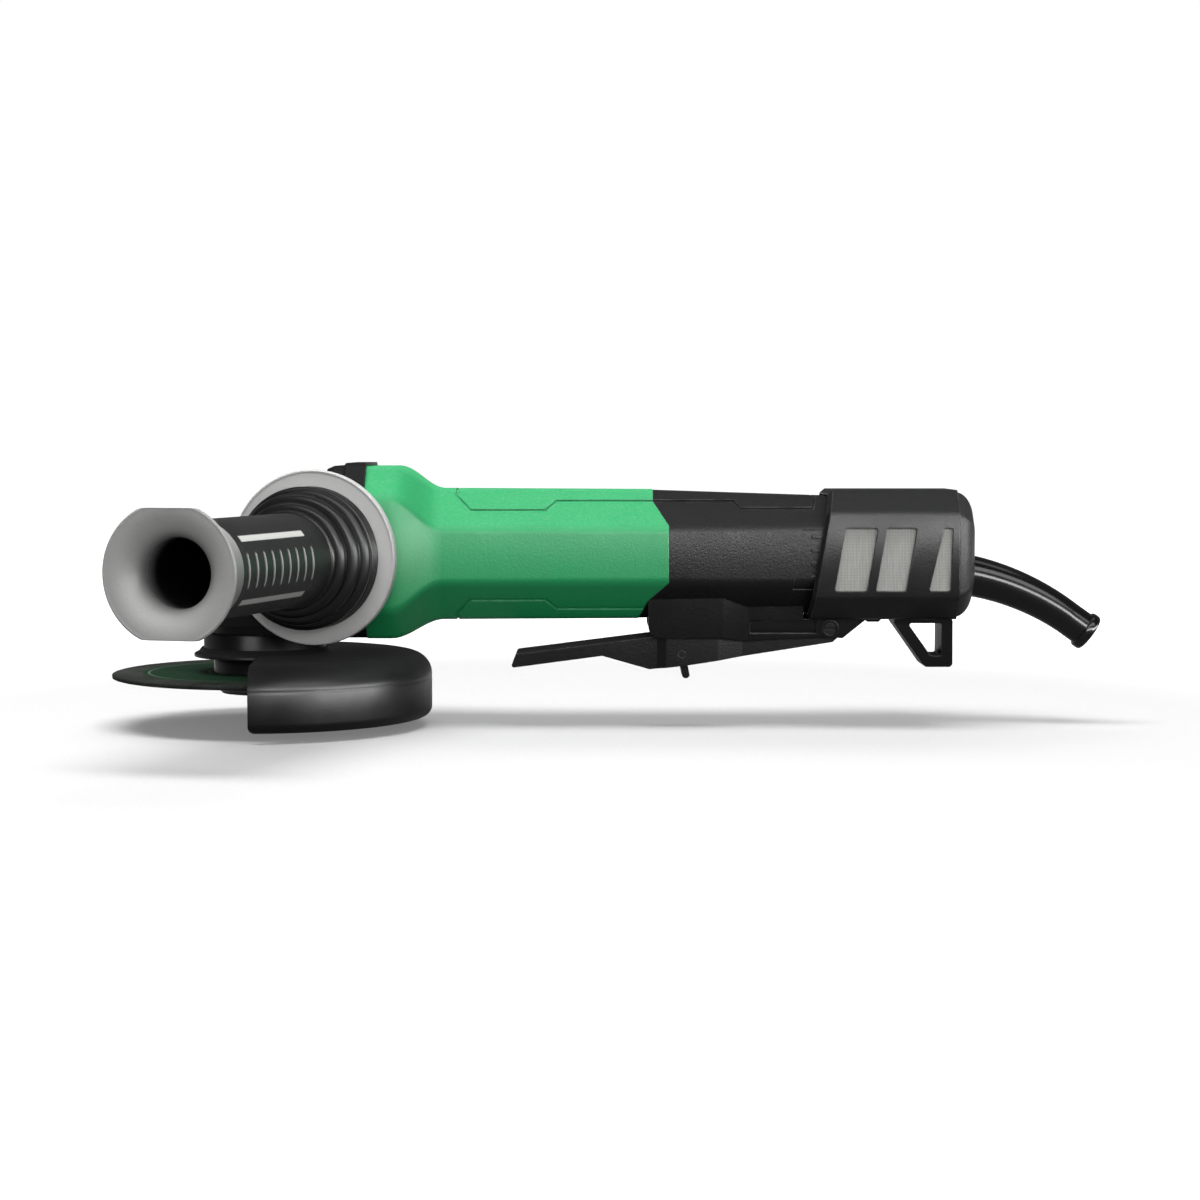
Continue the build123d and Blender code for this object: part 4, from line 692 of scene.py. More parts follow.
@dataclass(frozen=True)
class WovenWire(Finish):
    """Fine wire cloth: upright and level wires with dark gaps, and faint streaks along the upright wires."""

    pitch: float = 0.6
    gap_tone: Colour = (0.13, 0.13, 0.122)
    gap_span: Span = (0.95, 0.60)
    streak_waves: float = 1500.0
    streak_stretch: float = 0.08
    streak_span: Span = (0.4, 0.65)
    streak_share: float = 0.35

    def weave(self, canvas: Canvas) -> Socket:
        """Draws the wires, as the larger of |cos(pi x / pitch)| and |cos(pi z / pitch)|.

        Args:
            canvas: What the finish paints with.

        Returns:
            A socket that is 1 on a wire's crest and 0 in the middle of a gap.
        """
        graph, turn = canvas.graph, math.pi / (self.pitch * MM)
        x, _, z = graph.parts(canvas.place)
        upright, level = (graph.math("COSINE", graph.times(way, turn)) for way in (x, z))
        return graph.math("MAXIMUM", graph.math("ABSOLUTE", upright), graph.math("ABSOLUTE", level))

    def paint(self, canvas: Canvas) -> Socket:
        """Paints the wires, dark in the gaps and streaked.

        Args:
            canvas: What the finish paints with.

        Returns:
            The colour's socket.
        """
        graph, place = canvas.graph, canvas.place
        wire = super().paint(canvas)
        stretched = graph.vector("MULTIPLY", place, (1.0, 1.0, self.streak_stretch))
        streak = graph.noise(stretched, self.streak_waves, detail=2.0, rough=0.6)
        wire = graph.mix(graph.ramp(streak, *self.streak_span, 0.0, self.streak_share), wire, self.gap_tone)
        return graph.mix(graph.ramp(self.weave(canvas), *self.gap_span), wire, self.gap_tone)

    def height(self, canvas: Canvas) -> Socket:
        """Returns the wires' relief."""
        return self.weave(canvas)


# Each edge tone below is the pale colour that edges are painted with, partly rubbed wear and partly a painted
# highlight.
GREEN_SHELL = Finish("green_shell", (0.013, 0.290, 0.098), (0.011, 0.255, 0.085), 0.40, Grain.MOULDED,
                     specular=0.34, film=0.30, crown=8.0, edge=0.8, edge_wear_and_highlight=0.40, edge_wear_and_highlight_tone=(0.16, 0.56, 0.34),
                     dust=0.14)
BLACK_SHELL = Finish("black_shell", (0.0042, 0.0043, 0.0045), (0.0032, 0.0033, 0.0034), 0.42, Grain.MATT,
                     specular=0.36, film=0.35, crown=13.0, edge=0.6, edge_wear_and_highlight=0.30, dust=0.002)
BLACK_TRIM = Finish("black_trim", (0.0052, 0.0053, 0.0055), (0.0040, 0.0041, 0.0043), 0.37, Grain.MOULDED,
                    specular=0.38, film=0.35, crown=13.0, edge=0.7, edge_wear_and_highlight=0.40, dust=0.01)
BLACK_LEVER = Finish("black_lever", (0.0056, 0.0057, 0.0060), (0.0042, 0.0043, 0.0045), 0.44, Grain.MATT,
                     specular=0.30, crown=9.0, crown_level=34.0, film=0.35, edge=0.6, edge_wear_and_highlight=0.40, dust=0.01)
CAST_PAINT = Finish("cast_paint", (0.0046, 0.0047, 0.0048), (0.0034, 0.0035, 0.0036), 0.42, Grain.CAST,
                    specular=0.22, edge_wear_and_highlight=0.14, edge_wear_and_highlight_tone=(0.24, 0.24, 0.23), film=0.2, dust=0.003)
SHEET_PAINT = Finish("sheet_paint", (0.0042, 0.0042, 0.0044), (0.0032, 0.0032, 0.0034), 0.33, Grain.PEEL,
                     specular=0.42, edge_wear_and_highlight=0.10, film=0.40, crown=19.0, crown_level=-0.8, dust=0.0)
RING_PLASTIC = Finish("ring_plastic", (0.470, 0.470, 0.465), (0.440, 0.440, 0.435), 0.42, Grain.MOULDED,
                      specular=0.35, edge_wear_and_highlight=0.35, edge_wear_and_highlight_tone=(0.70, 0.70, 0.69), edge=0.8)
# The horn is the ring's pale plastic; its tone is set darker as painted shade.
SHADED_HORN_PLASTIC = BellPlastic("shaded_horn_plastic", (0.290, 0.290, 0.286), (0.265, 0.265, 0.262), 0.42, Grain.MOULDED,
                           specular=0.35, edge_wear_and_highlight=0.40, edge_wear_and_highlight_tone=(0.62, 0.62, 0.61), edge=0.9)
GRIP_RUBBER = RibbedRubber("grip_rubber", (0.0070, 0.0071, 0.0073), (0.0170, 0.0171, 0.0175), 0.46,
                           Grain.RUBBER, specular=0.45, dust=0.02)
SOFT_RUBBER = Finish("soft_rubber", (0.0050, 0.0051, 0.0053), (0.0040, 0.0041, 0.0042), 0.32, Grain.FINE,
                     specular=0.40, edge=0.05, edge_wear_and_highlight=0.0, dust=0.0)
GLOSS_RUBBER = Finish("gloss_rubber", (0.0040, 0.0041, 0.0042), (0.0032, 0.0033, 0.0034), 0.18, Grain.FINE,
                      specular=0.50, edge=0.05, edge_wear_and_highlight=0.0, rough_spread=0.05, dust=0.0)
BLACK_CAP = Finish("black_cap", (0.0078, 0.0079, 0.0082), (0.0058, 0.0059, 0.0062), 0.46, Grain.MATT,
                   specular=0.42, film=0.35, crown=9.0, edge=0.8, edge_wear_and_highlight=0.60, dust=0.01)
BRIGHT_STEEL = Finish("bright_steel", (0.56, 0.56, 0.55), (0.48, 0.48, 0.47), 0.30, Grain.FINE, metal=1.0,
                      edge_wear_and_highlight_tone=(0.7, 0.7, 0.69))
BLACK_PIN = Finish("black_pin", (0.0036, 0.0037, 0.0038), (0.0030, 0.0031, 0.0032), 0.34, Grain.FINE,
                   specular=0.2)
DARK_STEEL = Finish("dark_steel", (0.115, 0.115, 0.118), (0.085, 0.085, 0.088), 0.38, Grain.FINE, metal=1.0)
BEARING_STEEL = Finish("bearing_steel", (0.62, 0.62, 0.61), (0.55, 0.55, 0.54), 0.22, Grain.FINE, metal=1.0)
COPPER_WIRE = Finish("copper_wire", (0.62, 0.22, 0.07), (0.50, 0.17, 0.05), 0.32, Grain.RUBBER, metal=1.0)
CORE_STEEL = Finish("core_steel", (0.33, 0.33, 0.34), (0.26, 0.26, 0.27), 0.42, Grain.PEEL, metal=1.0)
MAGNET = Finish("magnet_plating", (0.40, 0.40, 0.41), (0.34, 0.34, 0.35), 0.25, Grain.FINE, metal=1.0)
BOARD = Finish("board_lacquer", (0.020, 0.110, 0.045), (0.030, 0.140, 0.060), 0.30, Grain.FINE)
CAN = Finish("capacitor_can", (0.020, 0.035, 0.075), (0.026, 0.044, 0.090), 0.30, Grain.FINE)
SWITCH = Finish("switch_plastic", (0.060, 0.060, 0.062), (0.050, 0.050, 0.052), 0.45, Grain.MOULDED)
BRONZE = Finish("bush_bronze", (0.52, 0.35, 0.15), (0.45, 0.29, 0.12), 0.35, Grain.FINE, metal=1.0)
FELT = Finish("seal_felt", (0.10, 0.095, 0.085), (0.075, 0.070, 0.062), 0.85, Grain.RUBBER, specular=0.2)
LEAD = Finish("lead_sleeve", (0.035, 0.035, 0.037), (0.028, 0.028, 0.030), 0.45, Grain.FINE)
FAN = Finish("fan_plastic", (0.090, 0.092, 0.095), (0.075, 0.077, 0.080), 0.45, Grain.MOULDED)
MESH_WIRE = WovenWire("mesh_wire", (0.27, 0.275, 0.252), (0.23, 0.235, 0.216), 0.48, Grain.PEEL, metal=0.2)
WHEEL = PrintedWheel("bonded_abrasive", (0.009, 0.011, 0.009), (0.045, 0.050, 0.044), 0.75, Grain.CAST,
                     specular=0.1, dust=0.01)

NODE_FINISHES: dict[Finish, tuple[str, ...]] = {
    GREEN_SHELL: ("motor_housing",),
    BLACK_SHELL: ("tail_shell_near", "tail_shell_far"),
    BLACK_CAP: ("rear_cap",),
    BLACK_TRIM: ("dust_cover", "rest_foot", "lock_button", "controller_tray", "fan_baffle",
                 "rear_bearing_bracket"),
    # The core's bore wall takes the bell's painted shade, grey at the mouth and black further in.
    SHADED_HORN_PLASTIC: ("handle_core",),
    BLACK_LEVER: ("paddle_lever", "lock_off_lever", "lock_off_pin"),
    CAST_PAINT: ("gear_case", "bearing_cover"),
    SHEET_PAINT: ("guard_band", "wheel_flange"),
    BRIGHT_STEEL: ("spindle", "handle_bolt", "lock_pin", "lock_off_spring", "rotor_shaft"),
    BLACK_PIN: ("paddle_pivot_pin",),
    DARK_STEEL: ("gear_case_screws", "bearing_cover_screws", "guard_clamp_screw", "wheel_nut", "tail_screws",
                 "cap_screws", "ring_gear", "pinion", "pinion_nut"),
    BEARING_STEEL: ("spindle_lower_bearing", "front_bearing", "rear_bearing"),
    COPPER_WIRE: ("stator_windings",),
    CORE_STEEL: ("stator_core", "rotor_core"),
    MAGNET: ("rotor_magnets",),
    BOARD: ("controller_board",),
    CAN: ("capacitors",),
    SWITCH: ("switch_body", "switch_plunger"),
    BRONZE: ("spindle_upper_bush",),
    FELT: ("dust_seal",),
    LEAD: ("motor_leads",),
    FAN: ("cooling_fan",),
    MESH_WIRE: ("filter_mesh",),
}


@dataclass
class CarriedNodes:
    """The CAD nodes that keep their own mesh and get a finish each."""

    finishes: dict[Finish, tuple[str, ...]] = field(default_factory=lambda: NODE_FINISHES)

    def build(self, nodes: dict[str, bpy.types.Object], effects: Effects) -> None:
        """Gives every CAD node its finish.

        Args:
            nodes: The frame's node objects.
            effects: The shared node groups.
        """
        for finish, names in self.finishes.items():
            material = finish.material(effects)
            for name in names:
                dress(nodes[name], material)
            LOG.info("%s on %s", finish.name, ", ".join(names))


@dataclass(frozen=True)
class Lamp:
    """A soft area lamp, with its places and its width and height in metres and its power in watts."""

    name: str
    place: Point
    size: Span
    power: float
    unlit: Unlit
    target: Point = (0.12, 0.0, 0.05)

    def build(self) -> None:
        """Adds the lamp, turned to its target."""
        data = bpy.data.lights.new(self.name, "AREA")
        data.shape = "RECTANGLE"
        data.size, data.size_y = self.size
        data.energy = self.power
        made = bpy.data.objects.new(self.name, data)
        away = np.subtract(self.place, self.target)
        tilt = math.atan2(math.hypot(away[0], away[1]), away[2])
        made.location = self.place
        made.rotation_euler = (tilt, 0.0, math.atan2(away[0], -away[1]))
        setattr(made, self.unlit.value, False)
        bpy.context.scene.collection.objects.link(made)


LAMPS = (
    Lamp("lamp_back", (0.12, 0.80, 1.05), (1.3, 0.7), 9.0, Unlit.GLOSS),
    Lamp("lamp_key", (0.02, -0.42, 1.40), (1.5, 0.6), 34.0, Unlit.GLOSS),
    Lamp("lamp_fill", (0.25, -1.60, 0.22), (1.8, 0.8), 17.0, Unlit.GLOSS),
    Lamp("lamp_top", (0.12, 0.10, 1.15), (1.8, 0.35), 2.5, Unlit.SHADE),
    Lamp("lamp_strip", (0.30, -1.00, 1.05), (2.4, 0.5), 14.0, Unlit.SHADE),
    Lamp("lamp_front", (0.85, -1.60, 0.48), (2.0, 0.34), 28.0, Unlit.SHADE, (0.85, 0.0, 0.05)),
    Lamp("lamp_side", (1.62, -0.70, 0.27), (1.6, 0.34), 30.0, Unlit.SHADE),
)


@dataclass
class Studio:
    """A white floor and surroundings, soft lamps and the camera at the photograph's angle, in metres.

    The floor's middle lies under the tool. A reach or a span in space goes with the two strengths beside it.
    """

    lamps: tuple[Lamp, ...] = LAMPS
    eye: Point = (0.1388, -1.0, 0.1025)
    pitch: float = 86.31
    lens: float = 72.6
    sensor: float = 36.0
    view_end: float = 50.0
    middle: Point = (0.13, 0.0, -0.0140)
    floor_half: float = 6.0
    floor_rough: float = 0.9
    glow_reach: Span = (0.26, 0.60)
    glow: Span = (0.17, 0.95)
    near_reach: Span = (-0.10, 0.30)
    near: Span = (0.2, 1.0)
    fibre_waves: float = 700.0
    fibre_span: Span = (0.3, 0.7)
    fibre: Span = (0.43, 0.46)
    fibre_bounce: float = 0.22
    room_depth: Span = (-0.20, 0.25)
    room: Span = (0.12, 0.24)
    room_height: Span = (0.20, 0.60)
    room_share: Span = (1.0, 0.30)
    ambient: float = 0.22

    def build(self) -> None:
        """Builds camera, floor, world and lamps."""
        self.camera()
        self.floor()
        self.world()
        for lamp in self.lamps:
            lamp.build()

    def camera(self) -> None:
        """Adds the camera, level and square to the motor axis."""
        data = bpy.data.cameras.new("camera")
        data.lens = self.lens
        data.sensor_width = self.sensor
        data.clip_end = self.view_end
        made = bpy.data.objects.new("camera", data)
        made.location = self.eye
        made.rotation_euler = (math.radians(self.pitch), 0.0, 0.0)
        bpy.context.scene.collection.objects.link(made)
        bpy.context.scene.camera = made

    def floor(self) -> None:
        """Adds the floor: a flat grid whose points are (u, v, middle's z) for u and v over its half width.

        Its paper takes the shadow, and glows more the further it lies from the tool, so that it turns white.
        """
        span = np.linspace(-self.floor_half, self.floor_half, 3)
        u, v = np.meshgrid(span + self.middle[0], span, indexing="ij")
        points = np.stack((u, v, np.full_like(u, self.middle[2])), axis=-1)
        made = new_piece("floor", points.reshape(-1, 3), lattice(3, 3))
        material = bpy.data.materials.new("floor_paper")
        graph, output = start_tree(material, "ShaderNodeOutputMaterial")
        shader = graph.node("ShaderNodeBsdfPrincipled")
        shader.inputs["Roughness"].default_value = self.floor_rough
        shader.inputs["Specular IOR Level"].default_value = 0.0
        place, bounced = graph.place(), self.bounced(graph)
        away = graph.vector("DISTANCE", place, self.middle)
        glow = graph.ramp(away, *self.glow_reach, *self.glow, smooth=True)
        near = graph.ramp(graph.parts(place)[1], *self.near_reach, *self.near, smooth=True)
        shown = graph.ramp(bounced, 0.0, 1.0, 1.0, near)
        noise = graph.noise(place, self.fibre_waves, detail=3.0, rough=0.6)
        fibre = graph.ramp(noise, *self.fibre_span, *self.fibre)
        fibre = graph.times(fibre, graph.ramp(bounced, 0.0, 1.0, 1.0, self.fibre_bounce))
        pale = graph.node("ShaderNodeCombineColor")
        for channel in pale.inputs:
            graph.feed(channel, fibre)
        graph.feed(shader.inputs["Base Color"], pale.outputs[0])
        light = graph.node("ShaderNodeEmission")
        graph.feed(light.inputs["Strength"], graph.times(graph.times(glow, self.seen(graph)), shown))
        both = graph.node("ShaderNodeAddShader")
        graph.feed(both.inputs[0], shader.outputs["BSDF"])
        graph.feed(both.inputs[1], light.outputs["Emission"])
        graph.feed(output.inputs["Surface"], both.outputs[0])
        dress(made, material)

    def seen(self, graph: Graph) -> Socket:
        """Finds the rays that see the surroundings.

        Args:
            graph: The graph of the floor or the world.

        Returns:
            A socket that is 1 for rays from the camera, from a mirror or through glass, and 0 for others.
        """
        path = graph.node("ShaderNodeLightPath")
        both = graph.math("MAXIMUM", path.outputs["Is Camera Ray"], path.outputs["Is Glossy Ray"])
        return graph.math("MAXIMUM", both, path.outputs["Is Transmission Ray"])

    def bounced(self, graph: Graph) -> Socket:
        """Returns 1 for rays that left another surface, and 0 for the camera's own."""
        path = graph.node("ShaderNodeLightPath")
        return graph.math("MAXIMUM", path.outputs["Is Diffuse Ray"], path.outputs["Is Glossy Ray"])

    def world(self) -> None:
        """Sets a surround: a white backdrop, and for reflections a dim room overhead and in front."""
        made = bpy.data.worlds.new("surround")
        graph, output = start_tree(made, "ShaderNodeOutputWorld")
        back = graph.node("ShaderNodeBackground")
        back.inputs["Color"].default_value = (1.0, 1.0, 1.0, 1.0)
        _, depth, height = graph.parts(graph.place())
        room = graph.ramp(depth, *self.room_depth, *self.room, smooth=True)
        sheen = graph.times(room, graph.ramp(height, *self.room_height, *self.room_share, smooth=True))
        path = graph.node("ShaderNodeLightPath")
        clear = graph.math("MAXIMUM", path.outputs["Is Camera Ray"], path.outputs["Is Transmission Ray"])
        shown = graph.ramp(clear, 0.0, 1.0, sheen, 1.0)
        graph.feed(back.inputs["Strength"], graph.ramp(self.seen(graph), 0.0, 1.0, self.ambient, shown))
        graph.feed(output.inputs["Surface"], back.outputs["Background"])
        bpy.context.scene.world = made


def lattice(rows: int, columns: int, wrap_rows: bool = False, wrap_columns: bool = False) -> np.ndarray:
    """Quads of a grid of points that are stored row by row.

    The quad at row i, column j joins points (i, j), (i+1, j), (i+1, j+1) and (i, j+1). A wrapped way joins
    its last line to its first.

    Args:
        rows: How many rows of points.
        columns: How many points in a row.
        wrap_rows: Whether the last row joins the first.
        wrap_columns: Whether each row is a closed loop.

    Returns:
        An array of quads, four point numbers each.
    """
    i = np.arange(rows if wrap_rows else rows - 1)[:, None]
    j = np.arange(columns if wrap_columns else columns - 1)[None, :]
    after_i, after_j = (i + 1) % rows, (j + 1) % columns
    corners = (i * columns + j, after_i * columns + j, after_i * columns + after_j, i * columns + after_j)
    return np.stack([np.broadcast_to(c, (i.size, j.size)) for c in corners], axis=-1).reshape(-1, 4)


def round_angles(steps: int) -> np.ndarray:
    """Returns a column of even angles once round, without the last, which is the first again."""
    return np.arange(steps)[:, None] * (2 * math.pi / steps)


def new_piece(name: str, points: np.ndarray, quads: np.ndarray) -> bpy.types.Object:
    """Makes a smooth mesh piece from points and quads, with edges sharper than CREASE degrees left sharp.

    Args:
        name: The piece's name.
        points: Point places in metres, in the frame.
        quads: Four point numbers a face.

    Returns:
        The new object, linked to the scene.
    """
    mesh = bpy.data.meshes.new(name)
    mesh.vertices.add(len(points))
    mesh.vertices.foreach_set("co", points.astype(np.float32).ravel())
    mesh.loops.add(quads.size)
    mesh.loops.foreach_set("vertex_index", quads.astype(np.int32).ravel())
    mesh.polygons.add(len(quads))
    mesh.polygons.foreach_set("loop_start", np.arange(0, quads.size, 4, dtype=np.int32))
    mesh.update(calc_edges=True)
    mesh.validate()
    mesh.shade_smooth()
    mesh.set_sharp_from_angle(angle=math.radians(CREASE))
    made = bpy.data.objects.new(name, mesh)
    bpy.context.scene.collection.objects.link(made)
    return made


def set_piece(name: str, surface: Surface, material: bpy.types.Material, body: Body, node: str) -> bpy.types.Object:
    """Makes a piece of a surface, dresses it and puts it in a CAD node's place.

    Args:
        name: The piece's name.
        surface: Its surface, in working millimetres.
        material: Its material.
        body: The body that it rides on.
        node: The node that it stands for.

    Returns:
        The piece.
    """
    made = new_piece(name, (surface.points + RISE) * MM, surface.quads)
    dress(made, material)
    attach(made, body.value)
    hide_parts(node)
    LOG.info("%s stands for %s", name, node)
    return made


@dataclass(frozen=True)
class Axes:
    """A place with three directions square to each other, for a piece that is turned about one of them."""

    origin: Point
    along: Point
    across: Point

    def place(self, radius: np.ndarray, angle: np.ndarray, height: np.ndarray) -> np.ndarray:
        """Places round points about the axis.

        A point is origin + height along + radius (cos angle across + sin angle side), where side is
        along x across.

        Args:
            radius: Distances from the axis.
            angle: Angles about the axis, zero at across.
            height: Distances along the axis.

        Returns:
            The points, with the three inputs' common shape and one more way for X, Y and Z.
        """
        along, across = np.array(self.along), np.array(self.across)
        side = np.cross(along, across)
        radius, angle, height = np.broadcast_arrays(radius, angle, height)
        out = (radius * np.cos(angle))[..., None] * across + (radius * np.sin(angle))[..., None] * side
        return np.array(self.origin) + height[..., None] * along + out


SPINDLE_AXES = Axes(ZERO, (0.0, 0.0, 1.0), (1.0, 0.0, 0.0))


@dataclass(frozen=True)
class Surface:
    """A surface as points in working millimetres and quads."""

    points: np.ndarray
    quads: np.ndarray

    @staticmethod
    def closed(grid: np.ndarray) -> Surface:
        """Returns a grid of points that is joined up both ways, facing outwards."""
        return Surface(grid.reshape(-1, 3), lattice(*grid.shape[:2], True, True)).outward()

    @staticmethod
    def capped(grid: np.ndarray) -> Surface:
        """Joins a grid of points whose rows are loops, and closes its first and last row.

        A row of n points is closed by quads of the points k, k+1, n-2-k and n-1-k.

        Args:
            grid: The points, with an even count in each row.

        Returns:
            The closed surface, facing outwards.
        """
        rows, columns = grid.shape[:2]
        side = np.arange(columns // 2 - 1)
        first = np.stack((side, side + 1, columns - 2 - side, columns - 1 - side), axis=1)
        last = (first + (rows - 1) * columns)[:, ::-1]
        quads = np.concatenate((lattice(rows, columns, False, True), first, last))
        return Surface(grid.reshape(-1, 3), quads).outward()

    def joined(self, other: Surface) -> Surface:
        """Returns both surfaces as one."""
        quads = np.concatenate((self.quads, other.quads + len(self.points)))
        return Surface(np.concatenate((self.points, other.points)), quads)

    def outward(self) -> Surface:
        """Turns the quads to face outwards.

        The sum of a . (b x c) over the triangles, six times the volume, is negative where the faces point in.

        Returns:
            This surface, or one with its quads reversed.
        """
        a, b, c, d = (self.points[self.quads[:, k]] for k in range(4))
        first = np.einsum("ij,ij->i", a, np.cross(b, c))
        second = np.einsum("ij,ij->i", a, np.cross(c, d))
        return self if (first + second).sum() > 0.0 else Surface(self.points, self.quads[:, ::-1])


def soften(corners: list[Span], radius: float, steps: int = 5) -> np.ndarray:
    """Rounds the corners of a closed outline.

    Each corner P becomes the curve (1-t)^2 E + 2t(1-t) P + t^2 F, where E and F lie on its two sides, radius
    away from P but never past 0.45 of a side.

    Args:
        corners: The outline's corners.
        radius: How far the rounding reaches along the sides.
        steps: Points on each rounding.

    Returns:
        The rounded outline's points.
    """
    middle = np.array(corners, float)
    to_before = np.roll(middle, 1, axis=0) - middle
    to_after = np.roll(middle, -1, axis=0) - middle
    long_before = np.linalg.norm(to_before, axis=1, keepdims=True)
    long_after = np.linalg.norm(to_after, axis=1, keepdims=True)
    start = middle + to_before / long_before * np.minimum(radius, 0.45 * long_before)
    end = middle + to_after / long_after * np.minimum(radius, 0.45 * long_after)
    t = np.linspace(0.0, 1.0, steps)[None, :, None]
    curve = (1 - t) ** 2 * start[:, None] + 2 * t * (1 - t) * middle[:, None] + t**2 * end[:, None]
    return curve.reshape(-1, 2)


def turned(outline: np.ndarray, axes: Axes, steps: int = 160) -> Surface:
    """Turns a closed outline of radius and height once round an axis.

    Point (i, j) has the outline's radius j and height j at the angle 2 pi i / steps.

    Args:
        outline: Points of radius and height.
        axes: The axis.
        steps: Points round the axis.

    Returns:
        The closed surface.
    """
    return Surface.closed(axes.place(outline[None, :, 0], round_angles(steps), outline[None, :, 1]))


def ridges(height: np.ndarray, floor: np.ndarray, tops: tuple[Point, ...]) -> np.ndarray:
    """Radius along an axis with round ridges on it.

    The radius at a height is the largest of the floor's and of each ridge's
    top - bulge + sqrt(bulge^2 - (height - middle)^2), where the root is real.

    Args:
        height: Heights along the axis.
        floor: The radius with no ridge, at each height.
        tops: Each ridge's middle height, top radius and bulge radius.

    Returns:
        The radius at each height.
    """
    middle, top, bulge = (np.array(column)[:, None] for column in zip(*tops))
    inside = bulge**2 - (height[None, :] - middle) ** 2
    ridge = np.where(inside > 0.0, top - bulge + np.sqrt(np.maximum(inside, 0.0)), 0.0)
    return np.maximum(floor, ridge.max(axis=0))


def fade(value: np.ndarray, edge: float, width: float) -> np.ndarray:
    """Returns a ramp that is 0 at an edge and 1 a width past it; a negative width turns the ramp round."""
    return np.clip((value - edge) / width, 0.0, 1.0)


@dataclass
class SideHandle:
    """The side handle: flange ring, ridged damper, ribbed grip and flared horn.

    Heights run along the handle from its boss. The damper's floor has heights and radii, and its ridge tops
    hold what ridges() takes. The grip's ribs and sunk panels lie to the front and the rear, within half
    angles in degrees. Rows of points are counted along the handle, and steps round it.
    """

    sweep: float = 15.5
    root_x: float = 36.0
    boss_reach: float = 38.6
    bolt_hole: float = 4.1
    ring_radius: float = 34.85
    ring_thick: float = 4.6
    damper_end: float = 30.0
    damper_bore: float = 6.0
    damper_seat: float = 20.0
    damper_sink: float = 0.4
    floor_heights: tuple[float, ...] = (4.0, 10.6, 16.0, 22.0, 27.0, 30.0)
    floor_radii: tuple[float, ...] = (27.3, 27.3, 25.3, 22.0, 18.9, 18.5)
    ridge_tops: tuple[Point, ...] = (
        (5.3, 28.3, 0.85), (6.85, 28.3, 0.85), (8.4, 28.3, 0.85), (9.95, 28.3, 0.85),
        (13.3, 28.3, 2.9), (19.3, 25.9, 2.9), (24.9, 22.6, 2.7), (28.4, 19.6, 1.5),
    )
    core_radius: float = 15.4
    core_gap: float = 0.1
    grip_radius: float = 18.3
    grip_end: float = 112.0
    rib_start: float = 47.1
    rib_pitch: float = 7.4
    ribs: int = 9
    rib_height: float = 0.5
    rib_half: float = 0.62
    rib_flat: float = 0.25
    rib_angle: float = 22.5
    rib_fade: float = 3.0
    panel_depth: float = 0.15
    panel_angle: float = 34.0
    panel_fade: float = 2.0
    panel_span: Span = (42.0, 109.5)
    panel_end_fade: float = 1.5
    horn_end: float = 134.0
    horn_radius: float = 25.5
    horn_flat: float = 23.0
    horn_soft: float = 0.22
    horn_mouth: float = 24.2
    horn_bore: float = 12.6
    horn_depth: float = 9.0
    horn_step: float = 0.3
    flare_line: float = 0.16
    flare_power: float = 4.2
    mouth_sink: float = 0.15
    round_steps: int = 192
    damper_rows: int = 260
    grip_steps: int = 240
    grip_rows: int = 400
    horn_steps: int = 200
    horn_rows: int = 48
    mouth_rows: int = 40

    def axes(self) -> Axes:
        """Finds the handle's axis.

        Returns:
            The axis, with its zero on the boss and its angles from the top.
        """
        sine, cosine = math.sin(math.radians(self.sweep)), math.cos(math.radians(self.sweep))
        start = (self.root_x - self.boss_reach * sine, -self.boss_reach * cosine, 0.0)
        return Axes(start, (-sine, -cosine, 0.0), (0.0, 0.0, 1.0))

    def ring(self) -> Surface:
        """The flange ring: the outline of a flat disc with a rolled rim, turned about the handle's axis.

        Returns:
            The closed surface.
        """
        hole, r, t = self.bolt_hole, self.ring_radius, self.ring_thick
        outline = soften([
            (hole, 0.0), (r - 3.0, 0.0), (r - 0.9, 0.5), (r, 1.5), (r, t - 0.7), (r - 0.3, t), (r - 0.8, t),
            (r - 1.2, t - 0.3), (r - 6.0, t - 0.3), (hole, t - 0.3),
        ], 0.3)
        return turned(outline, self.axes(), self.round_steps)

    def damper(self) -> Surface:
        """The damper: round ridges that step down to the grip, and fine ones next to the ring, turned.

        Returns:
            The closed surface.
        """
        start, inner = self.ring_thick - self.damper_sink, self.core_radius + self.core_gap
        height = np.linspace(start, self.damper_end, self.damper_rows)
        radius = ridges(height, np.interp(height, self.floor_heights, self.floor_radii), self.ridge_tops)
        bore = np.array((
            (inner, self.damper_end), (inner, self.damper_seat),
            (self.damper_bore, self.damper_seat), (self.damper_bore, start),
        ))
        outline = np.concatenate((np.stack((radius, height), axis=1), bore))
        return turned(outline, self.axes(), self.round_steps)

    def grip(self) -> Surface:
        """The grip: a sleeve with short ribs on a sunk panel, to the front and the rear.

        The radius is the sleeve's, less the panel's depth times a window, plus the rib height times a row of
        humps along the axis times a narrower window. A window is 1 next to the two sides and fades out at its
        angle, and a hump is clip(1 + flat - |way to the rib's middle| / half, 0, 1).

        Returns:
            The closed surface.
        """
        height = np.linspace(self.damper_end, self.grip_end, self.grip_rows)
        angle = round_angles(self.grip_steps)
        phase = (height - self.rib_start) / self.rib_pitch
        nearest = np.clip(np.round(phase), 0, self.ribs - 1)
        way = np.abs(phase - nearest) * self.rib_pitch
        hump = np.clip(1.0 + self.rib_flat - way / self.rib_half, 0.0, 1.0)
        off = np.degrees(np.arccos(np.abs(np.sin(angle))))
        first, last = self.panel_span
        panel = fade(off, self.panel_angle, -self.panel_fade)
        panel = panel * fade(height, first, self.panel_end_fade) * fade(height, last, -self.panel_end_fade)
        window = fade(off, self.rib_angle, -self.rib_fade)
        radius = self.grip_radius - self.panel_depth * panel + self.rib_height * hump * window
        inner = np.full((len(angle), 2), self.core_radius + self.core_gap)
        radius = np.concatenate((radius, inner), axis=1)
        height = np.concatenate((height, (self.grip_end, self.damper_end)))
        return Surface.closed(self.axes().place(radius, angle, height[None, :]))

